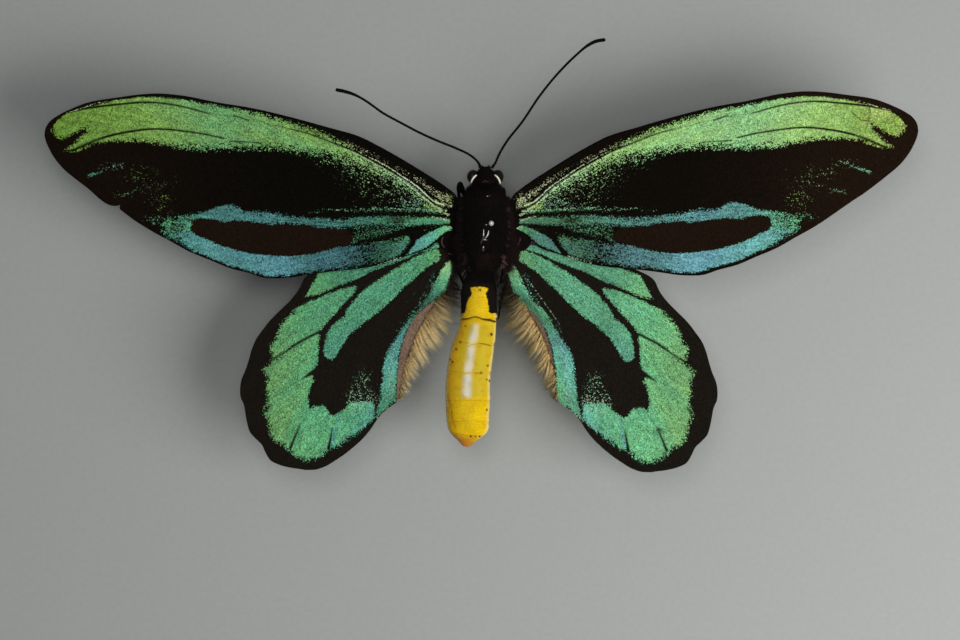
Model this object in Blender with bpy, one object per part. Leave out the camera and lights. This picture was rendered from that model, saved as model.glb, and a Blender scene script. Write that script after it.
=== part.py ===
"""A male birdwing butterfly, set with its wings spread and fixed on an upright steel pin.

Axes: +X to the insect's right, +Y forwards along its body, +Z up, out of its back. The origin is on the
pin's axis, at the height where the pin enters the foam or cork that holds it. All sizes below are in
millimetres and are turned into metres when a mesh is made.
"""

import math

import bmesh
import bpy
import numpy as np

MM = 0.001

# The pin.
PIN_RADIUS = 0.3
PIN_HEAD_RADIUS = 0.55
PIN_TOP = 30.1
PIN_BELOW_FOAM = 8.0
PIN_POINT_LENGTH = 1.6
BORE_RADIUS = 0.62

# The insect is pinned a little right of its middle, as is usual, so its middle lies left of the pin.
BODY_X = -1.4

# Meshes that touch keep this much air between them.
GAP = 0.3

# Thorax sections from the neck back: along the body, half width, height of the middle, half height.
THORAX_SECTIONS = [
    (8.6, 0.0, 16.6, 0.0),
    (8.4, 1.7, 16.6, 1.8),
    (7.6, 3.2, 16.8, 3.4),
    (6.0, 4.5, 17.0, 4.7),
    (3.5, 5.1, 17.0, 5.2),
    (0.5, 5.25, 17.0, 5.35),
    (-2.5, 5.2, 17.0, 5.3),
    (-5.5, 4.8, 16.8, 4.9),
    (-8.0, 3.9, 16.5, 4.1),
    (-9.3, 2.6, 16.3, 2.9),
    (-9.6, 0.0, 16.2, 0.0),
]

# Abdomen sections from the waist to the tip: along the body, left edge, right edge, height of the middle.
ABDOMEN_SECTIONS = [
    (-10.0, -1.1, -1.1, 16.1),
    (-10.2, -3.4, 1.6, 16.1),
    (-11.6, -4.3, 2.2, 16.0),
    (-14.0, -5.0, 2.6, 15.9),
    (-18.0, -5.1, 2.6, 15.7),
    (-22.0, -5.6, 2.5, 15.4),
    (-26.0, -7.1, 2.2, 15.1),
    (-30.0, -8.0, 1.6, 14.9),
    (-34.0, -8.5, 1.2, 14.8),
    (-38.0, -8.5, 1.2, 14.7),
    (-42.0, -8.3, 0.9, 14.6),
    (-44.2, -8.0, 0.8, 14.5),
    (-45.6, -7.1, 0.0, 14.4),
    (-46.8, -5.8, -1.6, 14.3),
    (-48.0, -4.6, -3.1, 14.3),
    (-48.3, -3.8, -3.8, 14.3),
]
ABDOMEN_FLATNESS = 0.94
ABDOMEN_JOINTS = [-13.6, -20.3, -25.8, -32.0, -38.0, -42.5, -45.7]
JOINT_DEPTH = 0.28
JOINT_HALF_WIDTH = 0.55

# The head and what it carries.
HEAD_CENTRE = (0.15, 10.45, 16.8)
HEAD_RADII = (2.15, 1.85, 1.75)
EYE_RADIUS = 1.3
EYE_CENTRES = {"left": (-2.55, 10.4, 16.7), "right": (2.85, 10.45, 16.7)}
PALP_PATH = [(0.78, 10.9, 13.9), (0.8, 11.7, 13.9), (0.78, 12.3, 14.3), (0.74, 12.55, 15.2), (0.7, 12.5, 15.9)]
PALP_RADIUS = 0.38
COIL_CENTRE = (0.15, 11.0, 13.1)
COIL_TURNS = 1.75
COIL_OUTER = 1.15
COIL_INNER = 0.32
COIL_TUBE = 0.16

# Feelers, from the brow to the club, seen from above; both rise a little and level out.
ANTENNA_PATHS = {
    "left": [
        (-0.9, 12.35, 17.6), (-1.3, 13.4, 17.9), (-2.0, 14.2, 18.1), (-3.0, 15.0, 18.3), (-6.0, 16.5, 18.6),
        (-10.0, 18.1, 18.8), (-14.0, 19.9, 18.9), (-18.0, 22.0, 18.9), (-22.0, 24.2, 18.8),
        (-26.0, 27.0, 18.7), (-28.0, 28.1, 18.6), (-30.0, 28.8, 18.5), (-32.3, 29.3, 18.4),
    ],
    "right": [
        (1.5, 12.3, 17.6), (2.3, 13.4, 17.9), (3.0, 15.0, 18.2), (4.7, 17.9, 18.5), (8.0, 22.1, 18.8),
        (12.0, 28.0, 19.0), (16.0, 32.9, 19.0), (20.0, 36.9, 18.9), (22.0, 38.6, 18.8),
        (24.0, 39.7, 18.7), (26.2, 40.1, 18.6),
    ],
}
ANTENNA_RADIUS = 0.22
CLUB_RADIUS = 0.38
CLUB_SHARE = 0.16

# Forewing edges: how far out from the body's middle, how far forward. Both run from the root to the tip.
FOREWING_LEADING = [
    (5.75, 5.6), (6.6, 6.9), (9.6, 9.1), (14.0, 11.9), (18.3, 14.5), (22.6, 16.9), (27.0, 19.1),
    (33.5, 21.0), (40.0, 22.8), (50.8, 25.35), (61.6, 27.3), (70.3, 28.4), (79.0, 27.6), (86.6, 26.2),
    (92.0, 23.8), (94.6, 21.6), (95.2, 19.4),
]
FOREWING_TRAILING = [
    (5.75, 0.8), (6.4, -0.6), (8.0, -1.7), (9.3, -2.2), (11.0, -4.2), (14.0, -5.8), (18.0, -7.1), (22.0, -8.5),
    (30.0, -9.8), (38.9, -10.9), (45.4, -11.6), (50.8, -10.5), (57.3, -8.6), (63.8, -5.85),
    (70.3, -2.2), (76.8, 1.7), (80.5, 4.1), (85.5, 7.6), (90.9, 11.9), (94.1, 16.25), (95.2, 19.4),
]
FOREWING_ROOT = (7.0, 3.0)
FOREWING_HEIGHT = 18.45
FOREWING_RISE = 0.9
FOREWING_CAMBER = 0.5

# Hindwing edges, from the root to the lowest point of the wing, round the outside and round the inside.
HINDWING_OUTER = [
    (5.8, -3.3), (10.0, -3.8), (20.0, -5.5), (30.0, -8.0), (36.0, -9.6), (38.9, -11.3), (42.1, -16.25),
    (46.5, -20.6), (49.7, -24.9), (51.2, -29.25), (52.8, -33.6), (53.0, -37.3), (51.9, -41.2),
    (51.0, -44.9), (48.4, -47.7), (46.5, -51.1), (42.1, -52.7), (38.9, -53.2),
]
HINDWING_INNER = [
    (5.7, -6.6), (6.8, -8.2), (7.0, -9.5), (7.8, -12.0), (9.0, -15.5), (11.8, -18.5), (14.5, -22.5), (16.3, -27.5),
    (17.7, -33.0), (18.7, -38.4), (21.6, -40.3), (24.8, -44.4), (28.1, -47.9), (32.4, -51.1),
    (36.7, -53.1), (38.9, -53.2),
]
HINDWING_ROOT = (20.0, -30.0)
HINDWING_HEIGHT = 17.2
HINDWING_DROOP = 1.0
HINDWING_CAMBER = 0.35
WING_THICKNESS = 0.3
WING_ROWS = 6

# How the wings on the right side are set, against a mirror image of the left: turned by these degrees
# about the root, stretched, and shifted out and forward.
RIGHT_FOREWING_SET = (0.8, 0.988, (-0.1, -0.1))
RIGHT_HINDWING_SET = (-0.6, 1.0, (-2.45, -0.3))
LEFT_SET = (0.0, 1.0, (0.0, 0.0))

# No wing starts nearer the body's middle than this; behind the wing roots the body narrows by the slope.
ROOT_REACH = 5.65
ROOT_BACK = -5.0
ROOT_SLOPE = 0.35

# Fringe of long hair on the hindwing's inner edge: where it grows and where its tips reach.
FRINGE_BASE = [
    (6.75, -10.6), (7.3, -13.0), (8.4, -15.6), (11.2, -18.7), (13.9, -22.7), (15.7, -27.7), (17.1, -33.0), (17.9, -37.4),
]
FRINGE_TIPS = [
    (6.15, -10.9), (6.1, -13.6), (5.9, -17.0), (6.9, -20.5), (8.6, -25.5), (12.3, -29.6), (14.6, -34.0), (17.3, -38.0),
]
FRINGE_HEIGHT = 16.5
FRINGE_DROOP = 0.8
FRINGE_THICKNESS = 0.8

# Legs, folded back under the body, from the hip over the knee to the foot. Left legs are mirror images,
# but for the front left one, whose knee is set further forward and shows beside the head.
LEG_PATHS = {
    "foreleg_left": [
        (-1.8, 5.0, 11.7), (-3.2, 6.3, 12.1), (-4.3, 7.8, 13.5), (-4.9, 8.9, 14.8), (-5.5, 9.25, 15.1),
        (-6.0, 8.5, 14.7), (-6.1, 6.6, 13.8), (-5.8, 3.8, 12.5), (-5.1, 0.6, 11.2), (-3.6, -2.0, 10.9),
    ],
    "foreleg_right": [
        (1.9, 4.6, 11.4), (2.9, 5.6, 11.8), (3.7, 6.8, 13.2), (4.1, 7.7, 14.5), (4.6, 8.05, 14.8),
        (5.15, 7.4, 14.4), (5.6, 5.6, 13.3), (5.7, 3.4, 12.2), (5.1, 0.6, 11.2), (3.6, -2.0, 10.9),
    ],
    "midleg_right": [
        (2.6, 0.6, 11.5), (3.9, 1.6, 10.6), (5.6, 2.5, 10.0), (6.6, 2.3, 9.8), (6.7, 1.0, 9.7),
        (5.5, -3.5, 9.6), (4.2, -8.5, 9.8), (3.4, -12.5, 9.9),
    ],
    "hindleg_right": [
        (2.6, -3.4, 11.5), (4.0, -5.0, 11.2), (5.3, -6.9, 11.6), (5.9, -8.1, 11.8), (5.8, -9.4, 11.7),
        (4.8, -12.2, 11.0), (3.6, -16.5, 10.2), (3.0, -20.5, 10.0),
    ],
}
LEG_RADII = [(0.0, 0.42), (0.3, 0.45), (0.42, 0.34), (0.7, 0.26), (1.0, 0.16)]

MATERIALS = {
    "pin_steel": ((0.62, 0.6, 0.57), 0.25, 1.0),
    "black_velvet": ((0.018, 0.013, 0.011), 0.7, 0.0),
    "eye_brown": ((0.035, 0.02, 0.012), 0.2, 0.0),
    "black_horn": ((0.02, 0.014, 0.011), 0.35, 0.0),
    "abdomen_yellow": ((0.62, 0.42, 0.02), 0.3, 0.0),
    "forewing_scales": ((0.09, 0.2, 0.13), 0.6, 0.0),
    "hindwing_scales": ((0.1, 0.33, 0.2), 0.6, 0.0),
    "buff_hair": ((0.45, 0.33, 0.18), 0.8, 0.0),
}


def material(name):
    """The named material, made at its first use."""
    found = bpy.data.materials.get(name)
    if found:
        return found
    colour, roughness, metallic = MATERIALS[name]
    made = bpy.data.materials.new(name)
    made.use_nodes = True
    shader = made.node_tree.nodes["Principled BSDF"]
    shader.inputs["Base Color"].default_value = (*colour, 1.0)
    shader.inputs["Roughness"].default_value = roughness
    shader.inputs["Metallic"].default_value = metallic
    made.diffuse_color = (*colour, 1.0)
    return made


def smooth_line(points, count):
    """Evenly spaced points on a smooth curve through the given ones: a cubic between each two, whose
    slope at a point is that of the line between its neighbours."""
    knots = np.asarray(points, float)
    along = np.concatenate([[0.0], np.cumsum(np.linalg.norm(np.diff(knots, axis=0), axis=1))])
    slope = np.gradient(knots, along, axis=0)
    fine = np.linspace(0.0, along[-1], 12 * count)
    k = np.clip(np.searchsorted(along, fine, side="right") - 1, 0, len(knots) - 2)
    step = (along[k + 1] - along[k])[:, None]
    t = (fine - along[k])[:, None] / step
    curve = (2 * t**3 - 3 * t**2 + 1) * knots[k] + (t**3 - 2 * t**2 + t) * step * slope[k]
    curve += (3 * t**2 - 2 * t**3) * knots[k + 1] + (t**3 - t**2) * step * slope[k + 1]
    run = np.concatenate([[0.0], np.cumsum(np.linalg.norm(np.diff(curve, axis=0), axis=1))])
    even = np.linspace(0.0, run[-1], count)
    return np.stack([np.interp(even, run, curve[:, axis]) for axis in range(knots.shape[1])], axis=1)


def add_solid(name, points, faces, material_name):
    """One closed mesh object from points in millimetres, its doubled points merged, its faces outward."""
    mesh = bpy.data.meshes.new(name)
    mesh.from_pydata((np.asarray(points, float) * MM).tolist(), [], faces)
    work = bmesh.new()
    work.from_mesh(mesh)
    bmesh.ops.remove_doubles(work, verts=work.verts, dist=1e-7)
    bmesh.ops.recalc_face_normals(work, faces=work.faces)
    work.to_mesh(mesh)
    work.free()
    mesh.materials.append(material(material_name))
    mesh.shade_smooth()
    mesh.set_sharp_from_angle(angle=math.radians(50))
    solid = bpy.data.objects.new(name, mesh)
    bpy.context.scene.collection.objects.link(solid)
    return solid


def skin(name, rings, material_name):
    """A closed solid from a grid of rings; the first and last ring each shrink to one point."""
    count, sides = rings.shape[:2]
    faces = []
    for i in range(count - 1):
        for j in range(sides):
            after = (j + 1) % sides
            faces.append((i * sides + j, i * sides + after, (i + 1) * sides + after, (i + 1) * sides + j))
    return add_solid(name, rings.reshape(-1, 3), faces, material_name)


def tube(name, path, radii, sides, material_name):
    """A round rod along a path, tapered by the radii, with a rounded point at each end."""
    path = np.asarray(path, float)
    heading = np.gradient(path, axis=0)
    heading /= np.linalg.norm(heading, axis=1)[:, None]
    across = np.cross(heading[0], (0.3, 0.2, 1.0))
    angles = np.linspace(0.0, 2.0 * math.pi, sides, endpoint=False)
    rings = []
    for centre, forward, radius in zip(path, heading, radii):
        across = across - forward * np.dot(across, forward)
        across /= np.linalg.norm(across)
        over = np.cross(forward, across)
        ring = centre + radius * (np.cos(angles)[:, None] * across + np.sin(angles)[:, None] * over)
        rings.append(ring)
    return skin(name, np.array(rings), material_name)


def rounded_radii(count, profile):
    """Radii along a rod from a profile of (share of length, radius), brought to a point at both ends."""
    share = np.linspace(0.0, 1.0, count)
    radii = np.interp(share, [p[0] for p in profile], [p[1] for p in profile])
    radii[0] = 0.0
    radii[-1] = 0.0
    radii[1] *= 0.75
    radii[-2] *= 0.75
    return radii


def plate(name, first, second, rows, height, thickness, material_name):
    """A thin sheet between two edge lines of the same number of points, closed at its rim.

    Its plan is the straight blend from one edge to the other. The height and thickness are functions of
    the place along the edges and across the sheet, each from 0 to 1.
    """
    count = len(first)
    u = np.linspace(0.0, 1.0, count)[:, None] * np.ones((1, rows))
    v = np.ones((count, 1)) * np.linspace(0.0, 1.0, rows)[None, :]
    plan = first[:, None, :] * (1.0 - v)[..., None] + second[:, None, :] * v[..., None]
    middle = height(plan, u, v)
    half = thickness(u, v) / 2.0
    top = np.dstack([plan, middle + half]).reshape(-1, 3)
    bottom = np.dstack([plan, middle - half]).reshape(-1, 3)
    lower = count * rows
    faces = []
    for i in range(count - 1):
        for j in range(rows - 1):
            a, b = i * rows + j, (i + 1) * rows + j
            faces.append((a, b, b + 1, a + 1))
            faces.append((lower + a, lower + a + 1, lower + b + 1, lower + b))
    rim = [i * rows for i in range(count)] + [(count - 1) * rows + j for j in range(1, rows)]
    rim += [i * rows + rows - 1 for i in range(count - 2, -1, -1)] + list(range(rows - 2, 0, -1))
    for a, b in zip(rim, rim[1:] + rim[:1]):
        faces.append((a, b, lower + b, lower + a))
    return add_solid(name, np.vstack([top, bottom]), faces, material_name)


def set_side(points, side, root, setting):
    """Edge points, given as distances out and forward, put on the left or right of the body."""
    turn, stretch, shift = setting
    angle = math.radians(turn)
    turned = np.array([[math.cos(angle), math.sin(angle)], [-math.sin(angle), math.cos(angle)]])
    out = (points - root) @ turned * stretch + root + shift
    nearest = ROOT_REACH - ROOT_SLOPE * np.clip(ROOT_BACK - out[:, 1], 0.0, None)
    out[:, 0] = np.maximum(out[:, 0], nearest)
    sign = {"left": -1.0, "right": 1.0}[side]
    return np.stack([BODY_X + sign * out[:, 0], out[:, 1]], axis=1)


def ellipsoid_rings(centre, radii, count, sides):
    """Rings of an ellipsoid from its back pole to its front pole along Y."""
    lat = np.linspace(-math.pi / 2, math.pi / 2, count)[:, None]
    turn = np.linspace(0.0, 2 * math.pi, sides, endpoint=False)[None, :]
    x = centre[0] + radii[0] * np.cos(lat) * np.sin(turn)
    y = centre[1] + radii[1] * np.sin(lat) * np.ones_like(turn)
    z = centre[2] + radii[2] * np.cos(lat) * np.cos(turn)
    return np.dstack([x, y, z])


def on_body(point):
    """A point given from the body's middle line, in the part's own frame."""
    return (point[0] + BODY_X, point[1], point[2])


def cut(solid, cutter):
    """Takes the cutter's shape out of the solid and keeps the cutter out of sight."""
    cutter.hide_render = True
    cutter.display_type = "WIRE"
    hole = solid.modifiers.new("cut_" + cutter.name, "BOOLEAN")
    hole.operation = "DIFFERENCE"
    hole.solver = "EXACT"
    hole.object = cutter


def make_pin():
    """The pin: a pointed wire turned in one piece with its round head."""
    profile = [
        (-PIN_BELOW_FOAM, 0.0),
        (-PIN_BELOW_FOAM + 0.1, 0.06),
        (-PIN_BELOW_FOAM + PIN_POINT_LENGTH, PIN_RADIUS),
        (PIN_TOP - 2.0 * PIN_HEAD_RADIUS + 0.08, PIN_RADIUS),
    ]
    for step in range(1, 7):
        lift = math.pi * (0.19 + 0.81 * step / 6.0)
        profile.append((PIN_TOP - PIN_HEAD_RADIUS * (1 + math.cos(lift)), PIN_HEAD_RADIUS * math.sin(lift)))
    turn = np.linspace(0.0, 2 * math.pi, 16, endpoint=False)
    rings = [np.stack([r * np.cos(turn), r * np.sin(turn), np.full(16, z)], axis=1) for z, r in profile]
    skin("pin", np.array(rings), "pin_steel")


def make_thorax():
    """The chest, with the bore that the pin made."""
    stations = smooth_line([(y, w, z, h) for y, w, z, h in THORAX_SECTIONS], 22)
    stations[[0, -1], 1] = 0.0
    stations[[0, -1], 3] = 0.0
    turn = np.linspace(0.0, 2 * math.pi, 20, endpoint=False)[None, :]
    y, w, z, h = (stations[:, k][:, None] for k in range(4))
    rings = np.dstack([BODY_X + w * np.sin(turn), y * np.ones_like(turn), z + h * np.cos(turn)])
    thorax = skin("thorax", rings, "black_velvet")
    around = np.linspace(0.0, 2 * math.pi, 12, endpoint=False)
    bore = [(10.0, 0.0), (10.0, BORE_RADIUS), (24.0, BORE_RADIUS), (24.0, 0.0)]
    walls = [np.stack([r * np.cos(around), r * np.sin(around), np.full(12, z)], axis=1) for z, r in bore]
    cut(thorax, skin("pin_bore", np.array(walls), "black_velvet"))


def make_abdomen():
    """The hind body: drawn in a little at each joint between its rings."""
    stations = smooth_line(ABDOMEN_SECTIONS, 64)
    near = np.min(np.abs(stations[:, :1] - np.array(ABDOMEN_JOINTS)[None, :]), axis=1)
    keep = (near < 1.3) | (np.arange(64) % 3 == 0) | (np.arange(64) > 56)
    keep[[0, -1]] = True
    stations, near = stations[keep], near[keep]
    y, left, right, z = (stations[:, k][:, None] for k in range(4))
    half = (right - left) / 2.0
    waist = JOINT_DEPTH * np.exp(-((near / JOINT_HALF_WIDTH) ** 2))[:, None] * np.clip(half / 3.0, 0.0, 1.0)
    half = np.maximum(half - waist, 0.0)
    half[[0, -1]] = 0.0
    turn = np.linspace(0.0, 2 * math.pi, 16, endpoint=False)[None, :]
    x = BODY_X + (left + right) / 2.0 + half * np.sin(turn)
    rings = np.dstack([x, y * np.ones_like(turn), z + ABDOMEN_FLATNESS * half * np.cos(turn)])
    skin("abdomen", rings, "abdomen_yellow")


def make_head():
    """The head with the sockets of its two eyes, the eyes, the palps and the coiled tongue."""
    head = skin("head", ellipsoid_rings(on_body(HEAD_CENTRE), HEAD_RADII, 11, 18), "black_velvet")
    for side, centre in EYE_CENTRES.items():
        eye = (EYE_RADIUS,) * 3
        skin("eye_" + side, ellipsoid_rings(on_body(centre), eye, 9, 14), "eye_brown")
        socket = (EYE_RADIUS + GAP,) * 3
        cut(head, skin("socket_" + side, ellipsoid_rings(on_body(centre), socket, 11, 16), "eye_brown"))
    for side, sign in {"left": -1.0, "right": 1.0}.items():
        path = [on_body((HEAD_CENTRE[0] + sign * x, y, z)) for x, y, z in PALP_PATH]
        radii = rounded_radii(9, [(0.0, PALP_RADIUS), (0.7, PALP_RADIUS), (1.0, 0.6 * PALP_RADIUS)])
        tube("palp_" + side, smooth_line(path, 9), radii, 8, "black_velvet")
    turn = np.linspace(0.0, 2 * math.pi * COIL_TURNS, 34)
    reach = np.linspace(COIL_OUTER, COIL_INNER, 34)
    x, y, z = on_body(COIL_CENTRE)
    coil = np.stack([np.full(34, x), y - reach * np.sin(turn), z + reach * np.cos(turn)], axis=1)
    tube("proboscis", coil, rounded_radii(34, [(0.0, COIL_TUBE), (1.0, 0.6 * COIL_TUBE)]), 6, "black_horn")


def make_antennae():
    """The feelers: a thin rod that thickens to a slim club."""
    profile = [(0.0, 1.3 * ANTENNA_RADIUS), (0.04, ANTENNA_RADIUS), (1.0 - CLUB_SHARE, ANTENNA_RADIUS)]
    profile += [(1.0 - 0.4 * CLUB_SHARE, CLUB_RADIUS), (1.0, CLUB_RADIUS)]
    for side, path in ANTENNA_PATHS.items():
        route = smooth_line([on_body(p) for p in path], 40)
        tube("antenna_" + side, route, rounded_radii(40, profile), 6, "black_horn")


def make_wings():
    """The four wings: gently arched sheets, the front pair lying over the leading edge of the hind pair."""

    def fore_height(plan, u, v):
        return FOREWING_HEIGHT + FOREWING_RISE * u + FOREWING_CAMBER * np.sin(math.pi * v) * np.sqrt(u * (1 - u))

    def hind_height(plan, u, v):
        arch = HINDWING_CAMBER * np.sin(math.pi * v) * (1 - u)
        return HINDWING_HEIGHT - HINDWING_DROOP * u**1.5 - 0.5 * v**3 * (1 - u) + arch

    def even(u, v):
        return np.full_like(u, WING_THICKNESS)

    for side in ("left", "right"):
        setting = RIGHT_FOREWING_SET if side == "right" else LEFT_SET
        edges = [
            set_side(smooth_line(edge, 37), side, np.array(FOREWING_ROOT), setting)
            for edge in (FOREWING_LEADING, FOREWING_TRAILING)
        ]
        plate("forewing_" + side, *edges, WING_ROWS, fore_height, even, "forewing_scales")
        setting = RIGHT_HINDWING_SET if side == "right" else LEFT_SET
        edges = [
            set_side(smooth_line(edge, 35), side, np.array(HINDWING_ROOT), setting)
            for edge in (HINDWING_OUTER, HINDWING_INNER)
        ]
        plate("hindwing_" + side, *edges, WING_ROWS, hind_height, even, "hindwing_scales")


def make_fringes():
    """The hair along each hindwing's inner edge, as a wedge that thins towards the tips."""

    def height(plan, u, v):
        return FRINGE_HEIGHT - FRINGE_DROOP * v - 0.35 * u

    def thickness(u, v):
        return FRINGE_THICKNESS * (1.0 - 0.6 * v) * np.ones_like(u)

    for side in ("left", "right"):
        setting = RIGHT_HINDWING_SET if side == "right" else LEFT_SET
        edges = [
            set_side(smooth_line(edge, 18), side, np.array(HINDWING_ROOT), setting)
            for edge in (FRINGE_BASE, FRINGE_TIPS)
        ]
        plate("hair_fringe_" + side, *edges, 3, height, thickness, "buff_hair")


def make_legs():
    """The six legs: thigh, shin and foot in one tapering run each."""
    paths = dict(LEG_PATHS)
    for name in ("midleg", "hindleg"):
        paths[name + "_left"] = [(-x, y, z) for x, y, z in LEG_PATHS[name + "_right"]]
    for name, path in paths.items():
        route = smooth_line([on_body(p) for p in path], 24)
        tube(name, route, rounded_radii(24, LEG_RADII), 6, "black_horn")


for old in list(bpy.data.objects):
    bpy.data.objects.remove(old, do_unlink=True)

make_pin()
make_thorax()
make_abdomen()
make_head()
make_antennae()
make_wings()
make_fringes()
make_legs()
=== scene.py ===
"""A male birdwing butterfly, spread and pinned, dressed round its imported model.

Sizes are in millimetres unless a line says otherwise. Wing places are given as distances out from the
body's middle line and forward from the pin; body places as x to the right of that line, y forward, z up.
"""

import math

import bmesh
import bpy
import numpy as np
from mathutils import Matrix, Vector


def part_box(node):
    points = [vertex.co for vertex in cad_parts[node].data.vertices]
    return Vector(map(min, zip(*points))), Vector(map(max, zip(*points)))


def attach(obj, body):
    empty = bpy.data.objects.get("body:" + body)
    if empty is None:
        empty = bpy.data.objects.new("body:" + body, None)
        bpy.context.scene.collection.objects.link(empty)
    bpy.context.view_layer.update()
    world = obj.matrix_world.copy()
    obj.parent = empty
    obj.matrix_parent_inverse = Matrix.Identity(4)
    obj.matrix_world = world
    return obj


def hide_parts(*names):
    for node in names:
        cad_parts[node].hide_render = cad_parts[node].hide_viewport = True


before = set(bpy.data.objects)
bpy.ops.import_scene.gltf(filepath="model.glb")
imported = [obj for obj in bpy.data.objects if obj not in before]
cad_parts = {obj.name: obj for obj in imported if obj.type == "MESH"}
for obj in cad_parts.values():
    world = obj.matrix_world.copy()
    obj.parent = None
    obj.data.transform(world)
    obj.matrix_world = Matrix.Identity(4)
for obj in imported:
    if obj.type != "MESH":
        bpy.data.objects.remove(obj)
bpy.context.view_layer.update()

# The pin. A stainless entomological pin, drawn from hard wire, ground to a long point, with its head
# pressed on as a round knob. It goes through the right half of the thorax and carries everything else.
MM = 0.001
BODY_X = -1.4
PIN_RADIUS = 0.3
PIN_TOP = 1000.0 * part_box("pin")[1].z
PIN_LOW = 1000.0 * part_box("pin")[0].z
PIN_HEAD_RADIUS = 0.55


def tint(red, green, blue):
    """A colour given in 0 to 255 as a picture shows it, turned into the linear values that light uses."""
    shown = np.array([red, green, blue]) / 255.0
    linear = np.where(shown <= 0.04045, shown / 12.92, ((shown + 0.055) / 1.055) ** 2.4)
    return tuple(linear) + (1.0,)


class Wire:
    """A value on its way through a material; arithmetic on wires adds Math nodes."""

    def __init__(self, finish, socket):
        self.finish = finish
        self.socket = socket

    def math(self, operation, *values, clamp=False):
        settings = {"operation": operation, "use_clamp": clamp}
        return self.finish.node("ShaderNodeMath", settings, dict(enumerate(values)))

    def __add__(self, other):
        return self.math("ADD", self, other)

    def __mul__(self, other):
        return self.math("MULTIPLY", self, other)

    def __sub__(self, other):
        return self.math("SUBTRACT", self, other)

    def __rsub__(self, other):
        return self.math("SUBTRACT", other, self)

    __radd__ = __add__
    __rmul__ = __mul__

    def most(self, other):
        return self.math("MAXIMUM", self, other)

    def least(self, other):
        return self.math("MINIMUM", self, other)

    def step(self, edge, width):
        """0 below the edge, 1 above it, with a straight ramp of the given width between."""
        return self.math("MULTIPLY_ADD", self - edge, 1.0 / width, 0.5, clamp=True)


class Finish:
    """A material under construction: node() adds any node, and the rest are short names for common ones."""

    def __init__(self, name):
        self.material = bpy.data.materials.new(name)
        self.material.use_nodes = True
        self.tree = self.material.node_tree
        self.tree.nodes.clear()

    def node(self, kind, settings, inputs, output=0):
        """Adds a node, applies its settings, fills its sockets by name or number, returns one output."""
        made = self.tree.nodes.new(kind)
        for key, value in settings.items():
            if key == "stops":
                ramp = made.color_ramp
                while len(ramp.elements) < len(value):
                    ramp.elements.new(0.5)
                for element, (place, colour) in zip(ramp.elements, value):
                    element.position = place
                    element.color = colour
            else:
                setattr(made, key, value)
        for key, value in inputs.items():
            if isinstance(value, Wire):
                self.tree.links.new(value.socket, made.inputs[key])
            else:
                made.inputs[key].default_value = value
        if not len(made.outputs):
            return made
        if isinstance(output, tuple):
            return tuple(Wire(self, made.outputs[key]) for key in output)
        return Wire(self, made.outputs[output])

    def attribute(self, name):
        return self.node("ShaderNodeAttribute", {"attribute_name": name}, {}, "Fac")

    def place(self, stretch=(1.0, 1.0, 1.0)):
        """Object coordinates in millimetres, stretched along the axes."""
        here = self.node("ShaderNodeTexCoord", {}, {}, "Object")
        scale = tuple(1000.0 * s for s in stretch)
        return self.node("ShaderNodeMapping", {}, {"Vector": here, "Scale": scale})

    def noise(self, scale, detail=2.0, stretch=(1.0, 1.0, 1.0)):
        inputs = {"Vector": self.place(stretch), "Scale": scale, "Detail": detail}
        return self.node("ShaderNodeTexNoise", {}, inputs, "Fac")

    def cells(self, size, stretch=(1.0, 1.0, 1.0)):
        """Three random values for each cell of a mosaic whose cells are about size across, and the
        distance from the cell's middle."""
        inputs = {"Vector": self.place(stretch), "Scale": 1.0 / size}
        colour, distance = self.node("ShaderNodeTexVoronoi", {}, inputs, ("Color", "Distance"))
        return self.node("ShaderNodeSeparateColor", {}, {"Color": colour}, (0, 1, 2)) + (distance,)

    def ramp(self, value, stops):
        return self.node("ShaderNodeValToRGB", {"stops": stops}, {"Fac": value})

    def mix(self, share, first, second, blend="MIX"):
        settings = {"data_type": "RGBA", "blend_type": blend, "clamp_factor": True}
        return self.node("ShaderNodeMix", settings, {0: share, 6: first, 7: second}, 2)

    def bump(self, height, distance, strength=1.0):
        inputs = {"Height": height, "Distance": distance * MM, "Strength": strength}
        return self.node("ShaderNodeBump", {}, inputs)

    def surface(self, **sockets):
        inputs = {key.replace("_", " "): value for key, value in sockets.items()}
        return self.node("ShaderNodeBsdfPrincipled", {}, inputs)

    def done(self, shader):
        self.node("ShaderNodeOutputMaterial", {}, {"Surface": shader})
        return self.material


def add_piece(name, points, faces, finish, nodes, slot, attributes, crease=60.0):
    """One closed mesh from points in the insect's own millimetres, doubled points merged at poles."""
    mesh = bpy.data.meshes.new(name)
    mesh.from_pydata((np.asarray(points, float) * MM).tolist(), [], faces)
    for key, values in attributes.items():
        layer = mesh.attributes.new(key, "FLOAT", "POINT")
        layer.data.foreach_set("value", np.asarray(values, np.float32).ravel())
    work = bmesh.new()
    work.from_mesh(mesh)
    bmesh.ops.remove_doubles(work, verts=work.verts, dist=1e-8)
    bmesh.ops.recalc_face_normals(work, faces=work.faces)
    work.to_mesh(mesh)
    work.free()
    mesh.shade_smooth()
    mesh.set_sharp_from_angle(angle=math.radians(crease))
    mesh.materials.append(finish)
    piece = bpy.data.objects.new(name, mesh)
    bpy.context.scene.collection.objects.link(piece)
    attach(piece, "root")
    if nodes:
        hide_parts(*nodes)


def ring_faces(count, sides, offset=0):
    """Faces of a skin stretched over count rings of sides points each."""
    i, j = np.meshgrid(np.arange(count - 1), np.arange(sides), indexing="ij")
    after = (j + 1) % sides
    quads = np.stack([i * sides + j, i * sides + after, (i + 1) * sides + after, (i + 1) * sides + j], -1)
    return (quads.reshape(-1, 4) + offset).tolist()


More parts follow.
